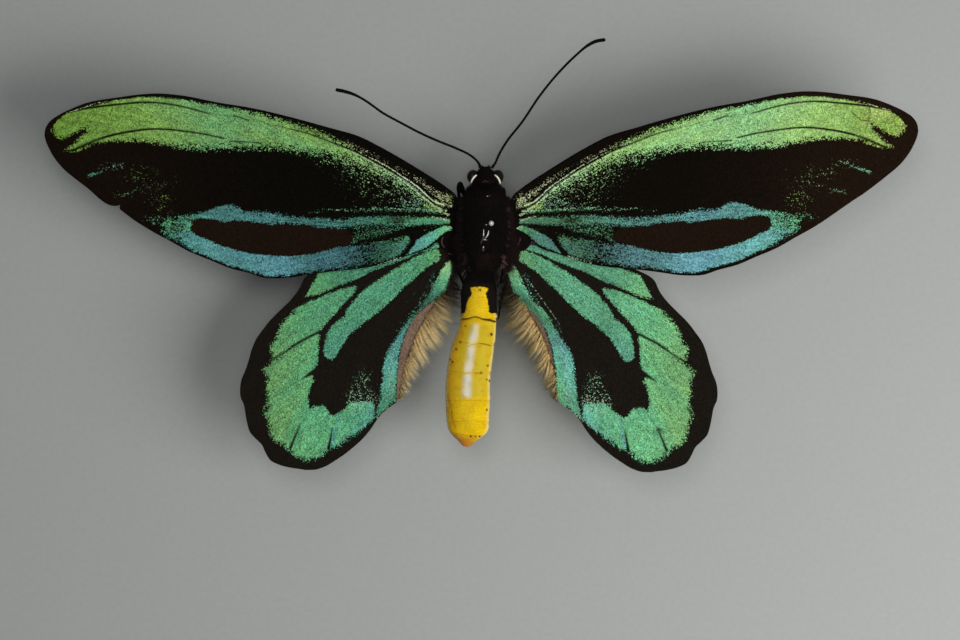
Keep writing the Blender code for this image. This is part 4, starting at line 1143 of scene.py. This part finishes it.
def set_side(points, name):
    """Points given as distances out and forward, put where the named wing is: turned about the wing's root,
    stretched, shifted, kept clear of the thorax, and mirrored for the left."""
    kind, side = name.split("_")
    turn, stretch, shift = WING_SETS[name]
    angle = math.radians(turn)
    turned_by = np.array([[math.cos(angle), math.sin(angle)], [-math.sin(angle), math.cos(angle)]])
    placed = (points - WING_ROOTS[kind]) @ turned_by * stretch + WING_ROOTS[kind] + shift
    nearest = 5.65 - 0.35 * np.clip(-5.0 - placed[:, 1], 0.0, None)
    out = np.maximum(placed[:, 0], nearest)
    return np.stack([BODY_X + SIGNS[side] * out, placed[:, 1]], axis=1)


def sheet_faces(count, rows):
    """Faces of two sheets of count by rows points, the upper ones first, and of the rim that joins them."""
    i, j = np.meshgrid(np.arange(count - 1), np.arange(rows - 1), indexing="ij")
    a, b = i * rows + j, (i + 1) * rows + j
    upper = np.stack([a, b, b + 1, a + 1], -1).reshape(-1, 4)
    rim = np.concatenate([
        np.arange(count) * rows, (count - 1) * rows + np.arange(1, rows),
        np.arange(count - 2, -1, -1) * rows + rows - 1, np.arange(rows - 2, 0, -1),
    ])
    after = np.roll(rim, -1)
    lower = count * rows
    wall = np.stack([rim, after, lower + after, lower + rim], -1)
    return np.vstack([upper, lower + upper[:, ::-1], wall]).tolist()


def wing_sheet(name, edges, counts, height, veins, upper, lower, finish):
    """A wing: a point at share u along and v across is the straight blend of the two edges' points at u.
    The middle of the sheet sinks between the veins, and each vein stands out as a bell-shaped ridge."""
    count, spacing = counts
    kind, side = name.split("_")
    v_rows = np.concatenate([np.linspace(a, b, n, endpoint=False) for a, b, n in spacing] + [[1.0]])
    u = np.linspace(0.0, 1.0, count)[:, None] * np.ones((1, len(v_rows)))
    v = np.ones((count, 1)) * v_rows[None, :]
    first, second = (smooth_line(edge, count) for edge in edges)
    plan = first[:, None, :] * (1.0 - v)[..., None] + second[:, None, :] * v[..., None]
    ridge = np.zeros(u.shape)
    from_vein = np.full(u.shape, 1e9)
    for line, start, end in veins:
        gap, share = nearness(plan, line)
        half = start + share * (end - start)
        ridge = np.maximum(ridge, half / 0.3 * bell(gap, 0.0, half + 0.1))
        from_vein = np.minimum(from_vein, gap)
    middle = height(u, v) - PLEAT_DEPTH * (1.0 - bell(from_vein, 0.0, PLEAT_REACH))
    placed = set_side(plan.reshape(-1, 2), name)
    top = np.column_stack([placed, (middle + MEMBRANE_HALF + VEIN_HEIGHT * ridge).ravel()])
    bottom = np.column_stack([placed, (middle - MEMBRANE_HALF - 0.7 * VEIN_HEIGHT * ridge).ravel()])
    above, below = upper(plan, side).layers(), lower(plan, from_vein).layers()
    layers = {key: np.concatenate([above[key], below[key]]) for key in above}
    faces = sheet_faces(count, len(v_rows))
    points = np.vstack([top, bottom])
    add_piece(name + "_scaled", points, faces, finish, [name], kind + "_scales", layers, 80.0)


PALETTE = [
    (0.0, tint(40, 64, 96)),
    (0.16, tint(86, 138, 154)),
    (0.32, tint(82, 144, 140)),
    (0.44, tint(76, 144, 112)),
    (0.54, tint(84, 152, 102)),
    (0.64, tint(108, 158, 94)),
    (0.76, tint(120, 160, 74)),
    (0.88, tint(104, 144, 54)),
    (0.95, tint(103, 135, 38)),
    (1.0, tint(158, 158, 104)),
]


def scale_finish(name, ink):
    """Wing scales: each cell of a fine mosaic is a coloured scale where its random value is below the cover
    at that place, and a velvet one of the ink colour otherwise."""
    scales = Finish(name)
    cover, tone, light = (scales.attribute(key) for key in ("cover", "tone", "light"))
    line, pale, brown = (scales.attribute(key) for key in ("line", "pale", "brown"))
    chance, shade, hue, dome = scales.cells(0.19)
    grit = scales.cells(0.11)[1]
    drift = scales.noise(0.16, 3.0)
    clumps = scales.noise(2.2, 2.0)
    fan = scales.node("ShaderNodeCombineXYZ", {}, {0: scales.attribute("ray"), 1: scales.attribute("reach")})
    rows = scales.node("ShaderNodeTexNoise", {}, {"Vector": fan, "Scale": 2.3, "Detail": 2.0}, "Fac")
    ragged = ((clumps - 0.5) * 0.6 + (rows - 0.5) * 1.2) * cover * (1.0 - cover) * 4.0
    depth = cover * 1.2 + ragged - chance
    flecks = (pale * 1.5 - chance).step(0.25, 0.2)
    present = (depth.step(0.1, 0.12) * (1.0 - line)).most(flecks)
    broad = scales.node("ShaderNodeTexNoise", {}, {"Vector": fan, "Scale": 0.3, "Detail": 2.0}, "Fac")
    place_tone = tone + (hue - 0.5) * 0.07 + (broad - 0.5) * 0.22
    colour = scales.ramp(place_tone, PALETTE)
    brightness = (shade * 1.1 + 0.45) * (grit * 0.76 + 0.62) * light
    brightness = brightness * (drift * 0.4 + 0.8) * (rows * 1.1 + 0.45)
    brightness = brightness * ((hue + shade * 0.1).step(0.12, 0.05) * 0.55 + 0.45)
    colour = scales.mix(1.0, colour, brightness, "MULTIPLY")
    colour = scales.mix(hue.step(0.9, 0.1) * 0.1 * light, colour, tint(206, 226, 190))
    # Whitish frost of pale scales, which on the right wings also carries a painted sheen.
    frost = scales.attribute("frost") * (shade * 1.0 + 0.5)
    colour = scales.mix(frost, colour, tint(206, 220, 186))
    colour = scales.mix(flecks * (pale * 0.4 + 0.4), colour, tint(214, 224, 188))
    dark = scales.mix(brown, ink, tint(27, 18, 12))
    dark = scales.mix(scales.attribute("fold"), dark, scales.mix(drift, tint(88, 70, 58), tint(128, 104, 86)))
    dark = scales.mix(1.0, dark, shade * 0.8 + 0.6, "MULTIPLY")
    relief = scales.bump(1.0 - dome, 0.02, 0.6)
    satin = scales.surface(
        Base_Color=colour, Roughness=0.6, Metallic=0.08, Specular_IOR_Level=0.12, Normal=relief
    )
    velvet = scales.surface(Base_Color=dark, Roughness=0.9, Specular_IOR_Level=0.02, Normal=relief)
    return scales.done(scales.node("ShaderNodeMixShader", {}, {0: present, 1: velvet, 2: satin}))


def forewing_height(u, v):
    """It rises by 0.9 in a straight line to the tip, and arches between the edges by half the sine of pi v
    times the square root of u (1 - u)."""
    return 18.45 + 0.9 * u + 0.5 * np.sin(math.pi * v) * np.sqrt(u * (1.0 - u))


forewing_finish = scale_finish("forewing_scales", tint(12, 10, 7))
FOREWING_COUNTS = (301, [(0.0, 0.4, 71), (0.4, 0.6, 10), (0.6, 1.0, 48)])
for side, mended in (("left", TORN_MARGIN), ("right", WHOLE_MARGIN)):
    wing_sheet(
        "forewing_" + side, (FOREWING_LEADING, FOREWING_TRAILING + mended + FOREWING_MARGIN), FOREWING_COUNTS,
        forewing_height, FOREWING_VEINS, forewing_upper, forewing_lower, forewing_finish,
    )

# The hindwings. Softer than the forewings, with the front edge tucked under them: golden green cells between
# black veins, a black rim, and along the body a thin brownish fold that carries long hair.
HINDWING_OUTER = [
    (5.8, -3.3), (10, -3.8), (20, -5.5), (30, -8), (36, -9.6), (38.9, -11.3), (40.4, -14.1), (42.1, -16.25),
    (44.3, -18.4), (46.5, -20.6), (48.2, -22.75), (49.7, -24.9), (50.6, -27.1), (51.2, -29.25),
    (51.9, -31.4), (52.8, -33.6), (53.1, -35.75), (53, -37.3), (52.3, -39), (51.9, -41.2), (51.5, -43.3),
    (51, -44.9), (49.9, -46.2), (48.4, -47.7), (47.6, -49.4), (46.5, -51.1), (44.75, -52), (42.1, -52.7),
    (40, -53), (38.9, -53.2),
]
HINDWING_INNER = [
    (5.7, -6.6), (6.8, -8.2), (7, -9.5), (7.8, -12), (9, -15.5), (11.8, -18.5), (14.5, -22.5),
    (16.3, -27.5), (17.7, -33), (18.6, -37.6), (19.3, -38.6), (20, -39.1), (21.6, -40.3), (23.1, -41.9),
    (24.8, -44.4), (26.5, -46.4), (28.1, -47.9), (30.2, -49.6), (32.4, -51.1), (34.6, -52.4), (36.7, -53.1),
    (38.9, -53.2),
]
HINDWING_VEINS = [
    ([(6.5, -3.9), (20, -6.3), (30, -8.8), (37, -11.6), (40.4, -15.2)], 0.3, 0.12),
    ([(8.5, -4.6), (12, -5.45), (17, -7.9), (22, -10.6), (26, -12.6), (27.6, -13.3)], 0.28, 0.2),
    ([(27.6, -13.3), (30, -12.95), (33, -14.2), (37, -15.6), (41.5, -17.4), (44, -18.9)], 0.18, 0.1),
    ([(27.6, -13.3), (29, -16), (31.5, -19), (34.5, -22.3), (36, -23.4)], 0.18, 0.16),
    ([(36, -23.3), (38, -24.2), (40, -25.2), (44, -28), (46.5, -29.6), (50.6, -32)], 0.16, 0.08),
    ([(36, -23.4), (35.4, -26.5), (35.6, -29), (35.2, -31)], 0.16, 0.14),
    ([(35.2, -31), (37, -31.9), (39.6, -33.4), (44, -36.6), (51.6, -40.8)], 0.14, 0.08),
    ([(35.2, -31), (37, -36), (39.6, -42), (41.8, -48.2), (42.8, -51.2)], 0.16, 0.08),
    ([(9, -7.2), (14, -11.6), (20, -17.4), (26, -23), (30.5, -28.6), (35.2, -31)], 0.26, 0.16),
    ([(26, -23), (30, -33), (32.3, -41.5), (33.9, -48.2), (34.3, -51)], 0.16, 0.08),
    ([(7.8, -7.6), (10.4, -11.8), (14.4, -18), (19.2, -24.4), (22, -30), (23, -36),
      (23.9, -41)], 0.24, 0.1),
]
# Outlines of the hindwing's cells, clockwise from the root end.
FRONT_CELL = [
    (9.8, -3.2), (14, -4.2), (20, -6), (26, -7.5), (32, -9), (36, -10.5), (37.3, -12.8), (38.8, -15.5),
    (36, -15), (32, -13.3), (28, -11.8), (24, -9.8), (20, -8.35), (17, -7.25), (14, -5.9), (10, -4.75),
]
SECOND_CELL = [
    (28, -13.3), (30, -13.6), (32, -14.2), (34, -15), (36.5, -16), (38.8, -17), (40.5, -17.9), (42.5, -20),
    (43.8, -21.3), (44.6, -23), (45.3, -25), (46.3, -26), (46, -29.3), (44, -28), (40, -25.2), (36, -23.2),
    (35, -22), (33, -19.8), (31, -17.5), (29, -15.5), (27.8, -13.8),
]
OUTER_CELLS = [
    (35.8, -24), (36, -23.3), (38, -24.3), (40, -25.3), (44, -28.1), (46, -29.5), (47.8, -31.3),
    (47.2, -33), (47.2, -36), (47, -38), (47.7, -41), (46.8, -42), (46.6, -44), (46, -46.3), (44.5, -47.4),
    (42.8, -48.3), (41.5, -49.8), (40, -50.6), (38.5, -51), (37, -50.8), (35.5, -50), (34.3, -48.8),
    (33.4, -48.1), (32, -48), (30.5, -47), (29, -45.8), (27, -44.5), (25, -43), (24, -41.8), (23.6, -40),
    (24.5, -38.3), (28, -38.2), (29.5, -38.8), (30.5, -40), (32.3, -41.3), (33, -41.5), (33.8, -40.8),
    (34.3, -39.8), (35, -39.2), (36.8, -39.2), (38, -40), (38.3, -39), (38.3, -37), (38, -35.5),
    (37.6, -34.5), (37, -33.6), (37.3, -32.8), (38.6, -32.7), (37, -31.4), (36.3, -30), (36.2, -28.5),
    (36, -26),
]
MIDDLE_CELL = [
    (9.6, -6.5), (10.2, -5.1), (12, -5.6), (14, -6.5), (16, -7.4), (18, -8.7), (20, -9.9), (22, -11.2),
    (24, -12.5), (26, -14), (27.3, -15.2), (28.8, -16.9), (30, -18.5), (30.3, -19.8), (31.5, -20.5),
    (33, -21.8), (34, -23.2), (34.6, -25), (34.9, -27), (34.8, -28.3), (34, -29), (33.3, -29.3),
    (32.3, -28.5), (31.5, -27), (29.5, -24), (28, -22.7), (26, -21), (24, -19.6), (22, -18), (20, -16),
    (18, -14), (16, -12.3), (14, -10.4), (12, -8.9), (10.5, -8), (9.7, -7.5),
]
FOLD_EDGE = [
    (6.6, -7.3), (7, -9.5), (7.8, -12), (8.7, -14.3), (10.5, -16), (12, -17), (13.5, -18.2), (15, -19.6),
    (16.5, -22), (17.5, -24.5), (18.3, -27), (18.8, -30), (19.1, -33), (19.2, -36), (19.3, -38.6),
]
INNER_STRIP = [
    (7.1, -8.3), (7.5, -7.7), (8.5, -8.5), (9.5, -10), (10.3, -12), (11, -13.2), (12, -15), (14, -18),
    (16, -20), (18, -22.8), (19.5, -25), (20.7, -26.8), (21.5, -28.5), (21.9, -31), (22.2, -33.5),
    (22.6, -37.5), (23.5, -40.5), (23.2, -41.4), (21.4, -39.9), (19.3, -38),
] + FOLD_EDGE[-2:0:-1]
HAIR_BASE = [
    (6.6, -9.2), (7.3, -12), (8.2, -14.4), (9.6, -15.8), (10.8, -17.2), (11.9, -18.9), (13.1, -21.3),
    (14.5, -23.4), (15.9, -27), (17, -30.2), (17.9, -34), (18.5, -37.6),
]
VEIN_ENDS = [
    ([(35.8, -23.2), (38, -24.25), (40, -25.25), (44, -28.05), (46.4, -29.5)], 0.32, 0.14),
    ([(35.8, -31), (37, -31.75), (39.8, -33.5)], 0.6, 0.1),
    ([(42.2, -48.4), (41.2, -46), (40.1, -43.6)], 0.34, 0.14),
    ([(33.9, -48.6), (33.5, -46.5), (33, -44)], 0.36, 0.1),
    ([(23, -36), (23.3, -38), (23.7, -40.2)], 0.34, 0.3),
    ([(46.4, -39), (47.6, -40.2)], 0.1, 0.3),
]
PALE_STREAKS = [
    ([(10.5, -9.5), (15, -14.6), (19, -19.2), (22.5, -23)], (0.05, 0.05, 0.16, (0.28, 0.22))),
    ([(7.6, -8), (7.4, -9.6)], (0.4, 0.2, 0.5, (0.5, 0.3))),
    ([(26.4, -27.5), (26.4, -33), (26.8, -37.6)], (0.5, 4.2, 3.4, (0.1, 0.25))),
    ([(18.6, -25), (20.2, -30), (20.6, -37)], (0.7, 1, 1.2, (0.22, 0.24))),
    ([(21, -39.6), (23.6, -42.2)], (0.35, 0.3, 0.7, (0.25, 0.4))),
]


def hindwing_upper(plan, side):
    """The upper face: the golden green cells, the black vein ends, pale streaks and the buff fold along the
    body. The right wing is painted lighter, with a painted sheen, for the stronger light on that side; it
    shows more of the strip beside its fold, and has a worn spot."""
    wing = Scaling(plan)
    tone = np.clip(0.48 + 0.05 * (wing.out - 32.0) / 3.0, 0.44, 0.62)
    wing.lay(wing.patch(FRONT_CELL, 0.5), tone, wing.along([10, 20, 30, 36], [1.1, 0.9, 0.74, 0.95]))
    second = wing.patch(SECOND_CELL, np.where(wing.out > 41.0, 1.5, 0.6))
    wing.lay(second, wing.along([28, 36, 42, 47], [0.5, 0.52, 0.56, 0.61]))
    rim_side = (wing.out > 43.5) | (wing.fore < -45.0)
    rear = wing.back([28, 33, 40, 50], [0.94, 1.0, 1.04, 1.08]) - wing.cloud((44.0, -43.0), (2.0, 2.0), 0.12)
    wing.lay(
        wing.patch(OUTER_CELLS, np.where(rim_side, 1.7, 0.7)),
        wing.along([24, 30, 36, 42, 47], [0.42, 0.46, 0.52, 0.57, 0.61]),
        rear * wing.along([24, 30, 36, 40, 44, 47], [1.06, 1.04, 1.15, 1.05, 0.96, 0.92]),
    )
    wing.lay(
        wing.patch(MIDDLE_CELL, 0.55) * (1.0 - 0.16 * fade(wing.out, 31.0, -22.0)),
        wing.along([10, 14, 20, 28, 34], [0.56, 0.49, 0.46, 0.47, 0.43]),
        wing.along([10, 14, 20, 24, 34], [1.0, 0.95, 1.08, 1.0, 0.96]),
    )
    strip = wing.patch(INNER_STRIP, wing.back([8, 14, 20, 30, 40], [0.5, 1.1, 1.1, 0.7, 1.0]))
    strip_tone = wing.back([8, 11, 14, 20, 25, 30, 35, 40], [0.66, 0.55, 0.46, 0.42, 0.32, 0.36, 0.42, 0.46])
    places = [8, 11, 13, 16, 18, 24, 30, 35, 38]
    strip_light = wing.back(places, [1.34, 1.1, 1.0, 0.45, 0.5, 0.8, 1.06, 1.0, 0.75])
    wing.lay(strip, strip_tone, strip_light)
    dust = wing.stroke([(26.2, -28.5), (26.2, -33.0), (26.6, -38.0)], 0.7, 3.8, 3.4, (0.03, 0.24))
    wing.lay(dust, 0.45, 0.8)
    inner = [(11.2, -11.0), (12.2, -14.2), (15.0, -18.2), (19.4, -23.6)]
    dust = wing.stroke(inner, 0.4, 0.2, 1.4, (0.3, 0.2))
    wing.lay(dust, 0.4, 0.9)
    for line, start, end in VEIN_ENDS:
        wing.add("line", wing.stroke(line, start, end, 0.3))
    violet = wing.stroke([(33.0, -47.6), (32.6, -45.0), (31.5, -41.0)], 0.35, 0.3, 0.5, (0.7, 0.6))
    wing.tone = wing.tone - 0.24 * violet
    for line, spread in PALE_STREAKS:
        wing.add("pale", wing.stroke(line, *spread))
    inset = np.zeros(2)
    if side == "right":
        inset = np.array([1.2, 0.0])
        wing.lay(wing.stroke(FOLD_EDGE[4:], 1.0, 1.0, 0.6), strip_tone + 0.06, strip_light)
    gap = nearness(plan + inset, FOLD_EDGE)[0]
    body_side = depth_inside(plan + inset, FOLD_EDGE + [(60.0, -38.6), (60.0, 0.0), (6.6, 0.0)]) < 0.0
    behind = body_side & (wing.fore > -38.6)
    fold = np.where(behind, fade(gap, 0.0, 0.25), 0.0) * fade(wing.fore, -9.0, -2.0)
    seam = wing.stroke(HAIR_BASE, 0.3, 0.3, 0.4, (0.9, 0.6))
    wing.fold = fold * (1.0 - 0.75 * seam) * wing.back([12, 17], [0.45, 1.0])
    wing.add("line", fold)
    wing.frost = 0.16 * bell(wing.fore, -9.4, 2.0) * (wing.out < 10.5)
    # On the right wing the scales are painted lighter, with a painted sheen stroke near the root and a little
    # whitish painted sheen, standing in for the stronger light on that side. It also has a worn spot and a
    # pale streak.
    if side == "right":
        outside = wing.back([10, 24, 29, 36, 43, 48], [1.3, 1.2, 1.04, 1.02, 1.06, 1.1])
        inside = np.where(wing.fore < -26.0, 1.3, wing.along([12, 18, 26], [1.0, 1.02, 1.12]))
        inside = inside * wing.along([24, 28, 32], [1.0, 0.78, 0.97])
        ahead = wing.fore > 4.0 - 0.52 * wing.out
        inside = np.where(ahead, wing.along([10, 22, 31, 34], [1.1, 1.14, 1.42, 1.2]), inside)
        wing.light = wing.light * np.where(wing.out < 32.0, inside, outside)
        sheen = wing.stroke([(10.6, -12.4), (12.6, -15.4), (15.4, -19.0)], 0.9, 0.7, 0.8)
        wing.light = wing.light + 0.5 * sheen
        wing.frost = wing.frost + 0.03
        spot = wing.cloud((40.4, -44.0), (0.8, 0.6), 0.9)
        wing.add("line", spot)
        wing.add("brown", spot)
        streak = wing.stroke([(12.2, -12.4), (16.0, -17.6), (19.6, -22.6)], 0.1, 0.08, 0.24, (0.6, 0.4))
        wing.add("pale", streak)
    return wing


def hindwing_lower(plan, from_vein):
    """The underside: green-gold between black veins, with a black rim and a row of round black spots."""
    wing = Scaling(plan)
    inside = depth_inside(plan, HINDWING_OUTER + HINDWING_INNER[::-1])
    field = fade(inside, 2.6, 0.8) * fade(from_vein, 0.45, 0.5) * fade(wing.out, 8.0, 3.0)
    spots = np.zeros(field.shape)
    middles = [(39.0, -20.4), (42.6, -26.4), (43.8, -33.6), (42.6, -40.6), (37.2, -45.0), (30.6, -42.4)]
    for out, fore in middles:
        spot = np.clip(1.5 - 0.7 * np.hypot(wing.out - out, wing.fore - fore), 0.0, 1.0)
        spots = np.maximum(spots, spot)
    wing.lay(field * (1.0 - spots), wing.along([12, 30, 46], [0.5, 0.62, 0.86]), 0.95)
    return wing


def hindwing_height(u, v):
    """It falls towards the rear by the power 1.5 of u; near the root the inner edge also hangs by half the
    cube of v, and the middle rises by 0.35 times the sine of pi v."""
    return 17.2 - u**1.5 - 0.5 * v**3 * (1.0 - u) + 0.35 * np.sin(math.pi * v) * (1.0 - u)


hindwing_finish = scale_finish("hindwing_scales", tint(24, 21, 17))
HINDWING_COUNTS = (281, [(0.0, 1.0, 150)])
for side in SIGNS:
    wing_sheet(
        "hindwing_" + side, (HINDWING_OUTER, HINDWING_INNER), HINDWING_COUNTS, hindwing_height,
        HINDWING_VEINS, hindwing_upper, hindwing_lower, hindwing_finish,
    )

# The hair fringes. The inner fold of each hindwing carries long silky buff hair, dense at its root and
# separated at the tips, darker and sparser towards the body, where the darkness is partly dark hair and
# partly painted shadow from the body and wings.
HAIR_TIPS = [
    (4.9, -11), (4.7, -14), (4.6, -16.4), (4.9, -18.6), (5.7, -21), (6.8, -23.6), (8.8, -26.8), (11, -29),
    (12.8, -32), (14.4, -34.6), (16.2, -36.8), (18, -38.4),
]
FRINGE_HAIRS = 3400
LOCKS = 110
# How bright the hairs are along the fold, front first: the dark front beside the body stands partly for dark
# hair and partly for painted shadow.
DARK_HAIR_AND_SHADOW_ALONG = ([0.0, 0.12, 0.22, 0.33, 0.55, 0.78, 0.89, 1.0], [0.04, 0.06, 0.14, 0.42, 1.1, 1.05, 0.8, 0.5])
buff = Finish("buff_hair")
shade, share = buff.attribute("shade"), buff.attribute("share")
colour = buff.mix(share, tint(206, 172, 112), tint(202, 190, 146))
# Dim hairs turn dark brown; near the body this is partly painted shadow.
colour = buff.mix(shade.step(0.2, 0.3), tint(52, 38, 24), colour)
colour = buff.mix(1.0, colour, shade * 1.15 + 0.28, "MULTIPLY")
buff_done = buff.done(buff.surface(Base_Color=colour, Roughness=0.5, Specular_IOR_Level=0.3))
for side in SIGNS:
    lock = (LOCKS * draw.random(FRINGE_HAIRS) ** 0.8).astype(int)
    loose = np.where(draw.random(FRINGE_HAIRS) < 0.42, 1.0, 0.22)
    where = np.clip((lock + 0.5 + loose * draw.uniform(-1.6, 1.6, FRINGE_HAIRS)) / LOCKS, 0.0, 1.0)
    ahead = where + draw.normal(0.0, 0.024, LOCKS)[lock] + loose * draw.normal(0.0, 0.03, FRINGE_HAIRS)
    steps = np.linspace(0.0, 1.0, len(HAIR_BASE))
    base, tips = np.array(HAIR_BASE), np.array(HAIR_TIPS)
    root = np.column_stack([np.interp(where, steps, base[:, axis]) for axis in range(2)])
    tip = np.column_stack([np.interp(ahead, steps, tips[:, axis]) for axis in range(2)])
    root = root + loose[:, None] * draw.normal(0.0, 0.3, root.shape)
    root = root + draw.normal(0.0, 0.16, (LOCKS, 2))[lock]
    reach = draw.uniform(0.5, 1.12, LOCKS)[lock]
    reach = reach * np.where(loose < 1.0, 1.0, draw.uniform(0.3, 1.0, FRINGE_HAIRS))
    reach = reach * draw.uniform(0.7, 1.0, FRINGE_HAIRS)
    tip = root + (tip - root) * reach[:, None] + loose[:, None] * draw.normal(0.0, 0.36, tip.shape)
    root, tip = set_side(root, "hindwing_" + side), set_side(tip, "hindwing_" + side)
    height = np.interp(where, [0.0, 0.5, 1.0], [16.75, 16.6, 16.45]) + draw.normal(0.0, 0.1, FRINGE_HAIRS)
    height += draw.normal(0.0, 0.16, LOCKS)[lock]
    start = np.column_stack([root, height])
    span = np.column_stack([tip - root, draw.uniform(-1.3, -0.2, FRINGE_HAIRS)])
    lengths = np.linalg.norm(span, axis=1)
    curl = np.array([-0.24 * SIGNS[side], 0.08, 0.0])
    span -= lengths[:, None] * curl
    sag = np.column_stack([draw.normal(0.0, 0.05, (FRINGE_HAIRS, 2)), draw.uniform(-0.1, 0.04, FRINGE_HAIRS)])
    sag += curl
    shades = np.where(loose < 1.0, 0.55 + 0.45 * draw.random(LOCKS)[lock], 0.75 * draw.random(FRINGE_HAIRS))
    shades *= np.interp(where, *DARK_HAIR_AND_SHADOW_ALONG)
    add_strands(
        "fringe_hair_" + side, start, span, lengths, 0.038, sag, buff_done, "buff_hair",
        ["hair_fringe_" + side], shades,
    )

# The stage: a plain pale floor that the pin stands in, a soft box overhead and a little to the left, and a
# nearer one on the right, so that the right side is brighter. The camera looks straight down on the back.
floor_finish = Finish("floor")
grain = floor_finish.noise(0.9, 3.0)
floor_colour = floor_finish.mix(grain, tint(152, 154, 151), tint(160, 162, 159))
floor_skin = floor_finish.surface(Base_Color=floor_colour, Roughness=0.9, Specular_IOR_Level=0.1)
floor_done = floor_finish.done(floor_skin)
floor_mesh = bpy.data.meshes.new("floor")
FLOOR_HALF = 1.6
corners = [(x * FLOOR_HALF, y * FLOOR_HALF, 0.0) for x, y in ((-1, -1), (1, -1), (1, 1), (-1, 1))]
floor_mesh.from_pydata(corners, [], [(0, 1, 2, 3)])
floor_mesh.materials.append(floor_done)
floor = bpy.data.objects.new("floor", floor_mesh)
bpy.context.scene.collection.objects.link(floor)

VIEW_CENTRE = (-2.4, -20.6)
VIEW_WIDTH = 208.0
WING_PLANE = 18.0
CAMERA_HEIGHT = 700.0
camera_data = bpy.data.cameras.new("camera")
camera_data.sensor_width = 36.0
camera_data.lens = 36.0 * (CAMERA_HEIGHT - WING_PLANE) / VIEW_WIDTH
camera_data.clip_start = 0.01
camera = bpy.data.objects.new("camera", camera_data)
camera.location = (VIEW_CENTRE[0] * MM, VIEW_CENTRE[1] * MM, CAMERA_HEIGHT * MM)
bpy.context.scene.collection.objects.link(camera)
bpy.context.scene.camera = camera


def soft_box(name, place, size, power, mirrored=True):
    """A rectangular light at a place in millimetres that faces the insect, and shows in gloss if mirrored."""
    data = bpy.data.lights.new(name, "AREA")
    data.shape = "RECTANGLE"
    data.size, data.size_y = size
    data.energy = power
    lamp = bpy.data.objects.new(name, data)
    lamp.location = [value * MM for value in place]
    aim = Vector((0.0, -0.02, 0.015)) - lamp.location
    lamp.rotation_euler = aim.to_track_quat("-Z", "Y").to_euler()
    lamp.visible_glossy = mirrored
    bpy.context.scene.collection.objects.link(lamp)


soft_box("box_overhead", (-55.0, 100.0, 900.0), (0.34, 0.48), 2.5)
soft_box("box_right", (310.0, -170.0, 320.0), (0.35, 0.35), 2.35, mirrored=False)
world = bpy.data.worlds.new("studio")
world.use_nodes = True
world.node_tree.nodes["Background"].inputs["Color"].default_value = (0.9, 0.95, 1.0, 1.0)
world.node_tree.nodes["Background"].inputs["Strength"].default_value = 0.13
bpy.context.scene.world = world
bpy.context.scene.view_settings.view_transform = "Standard"
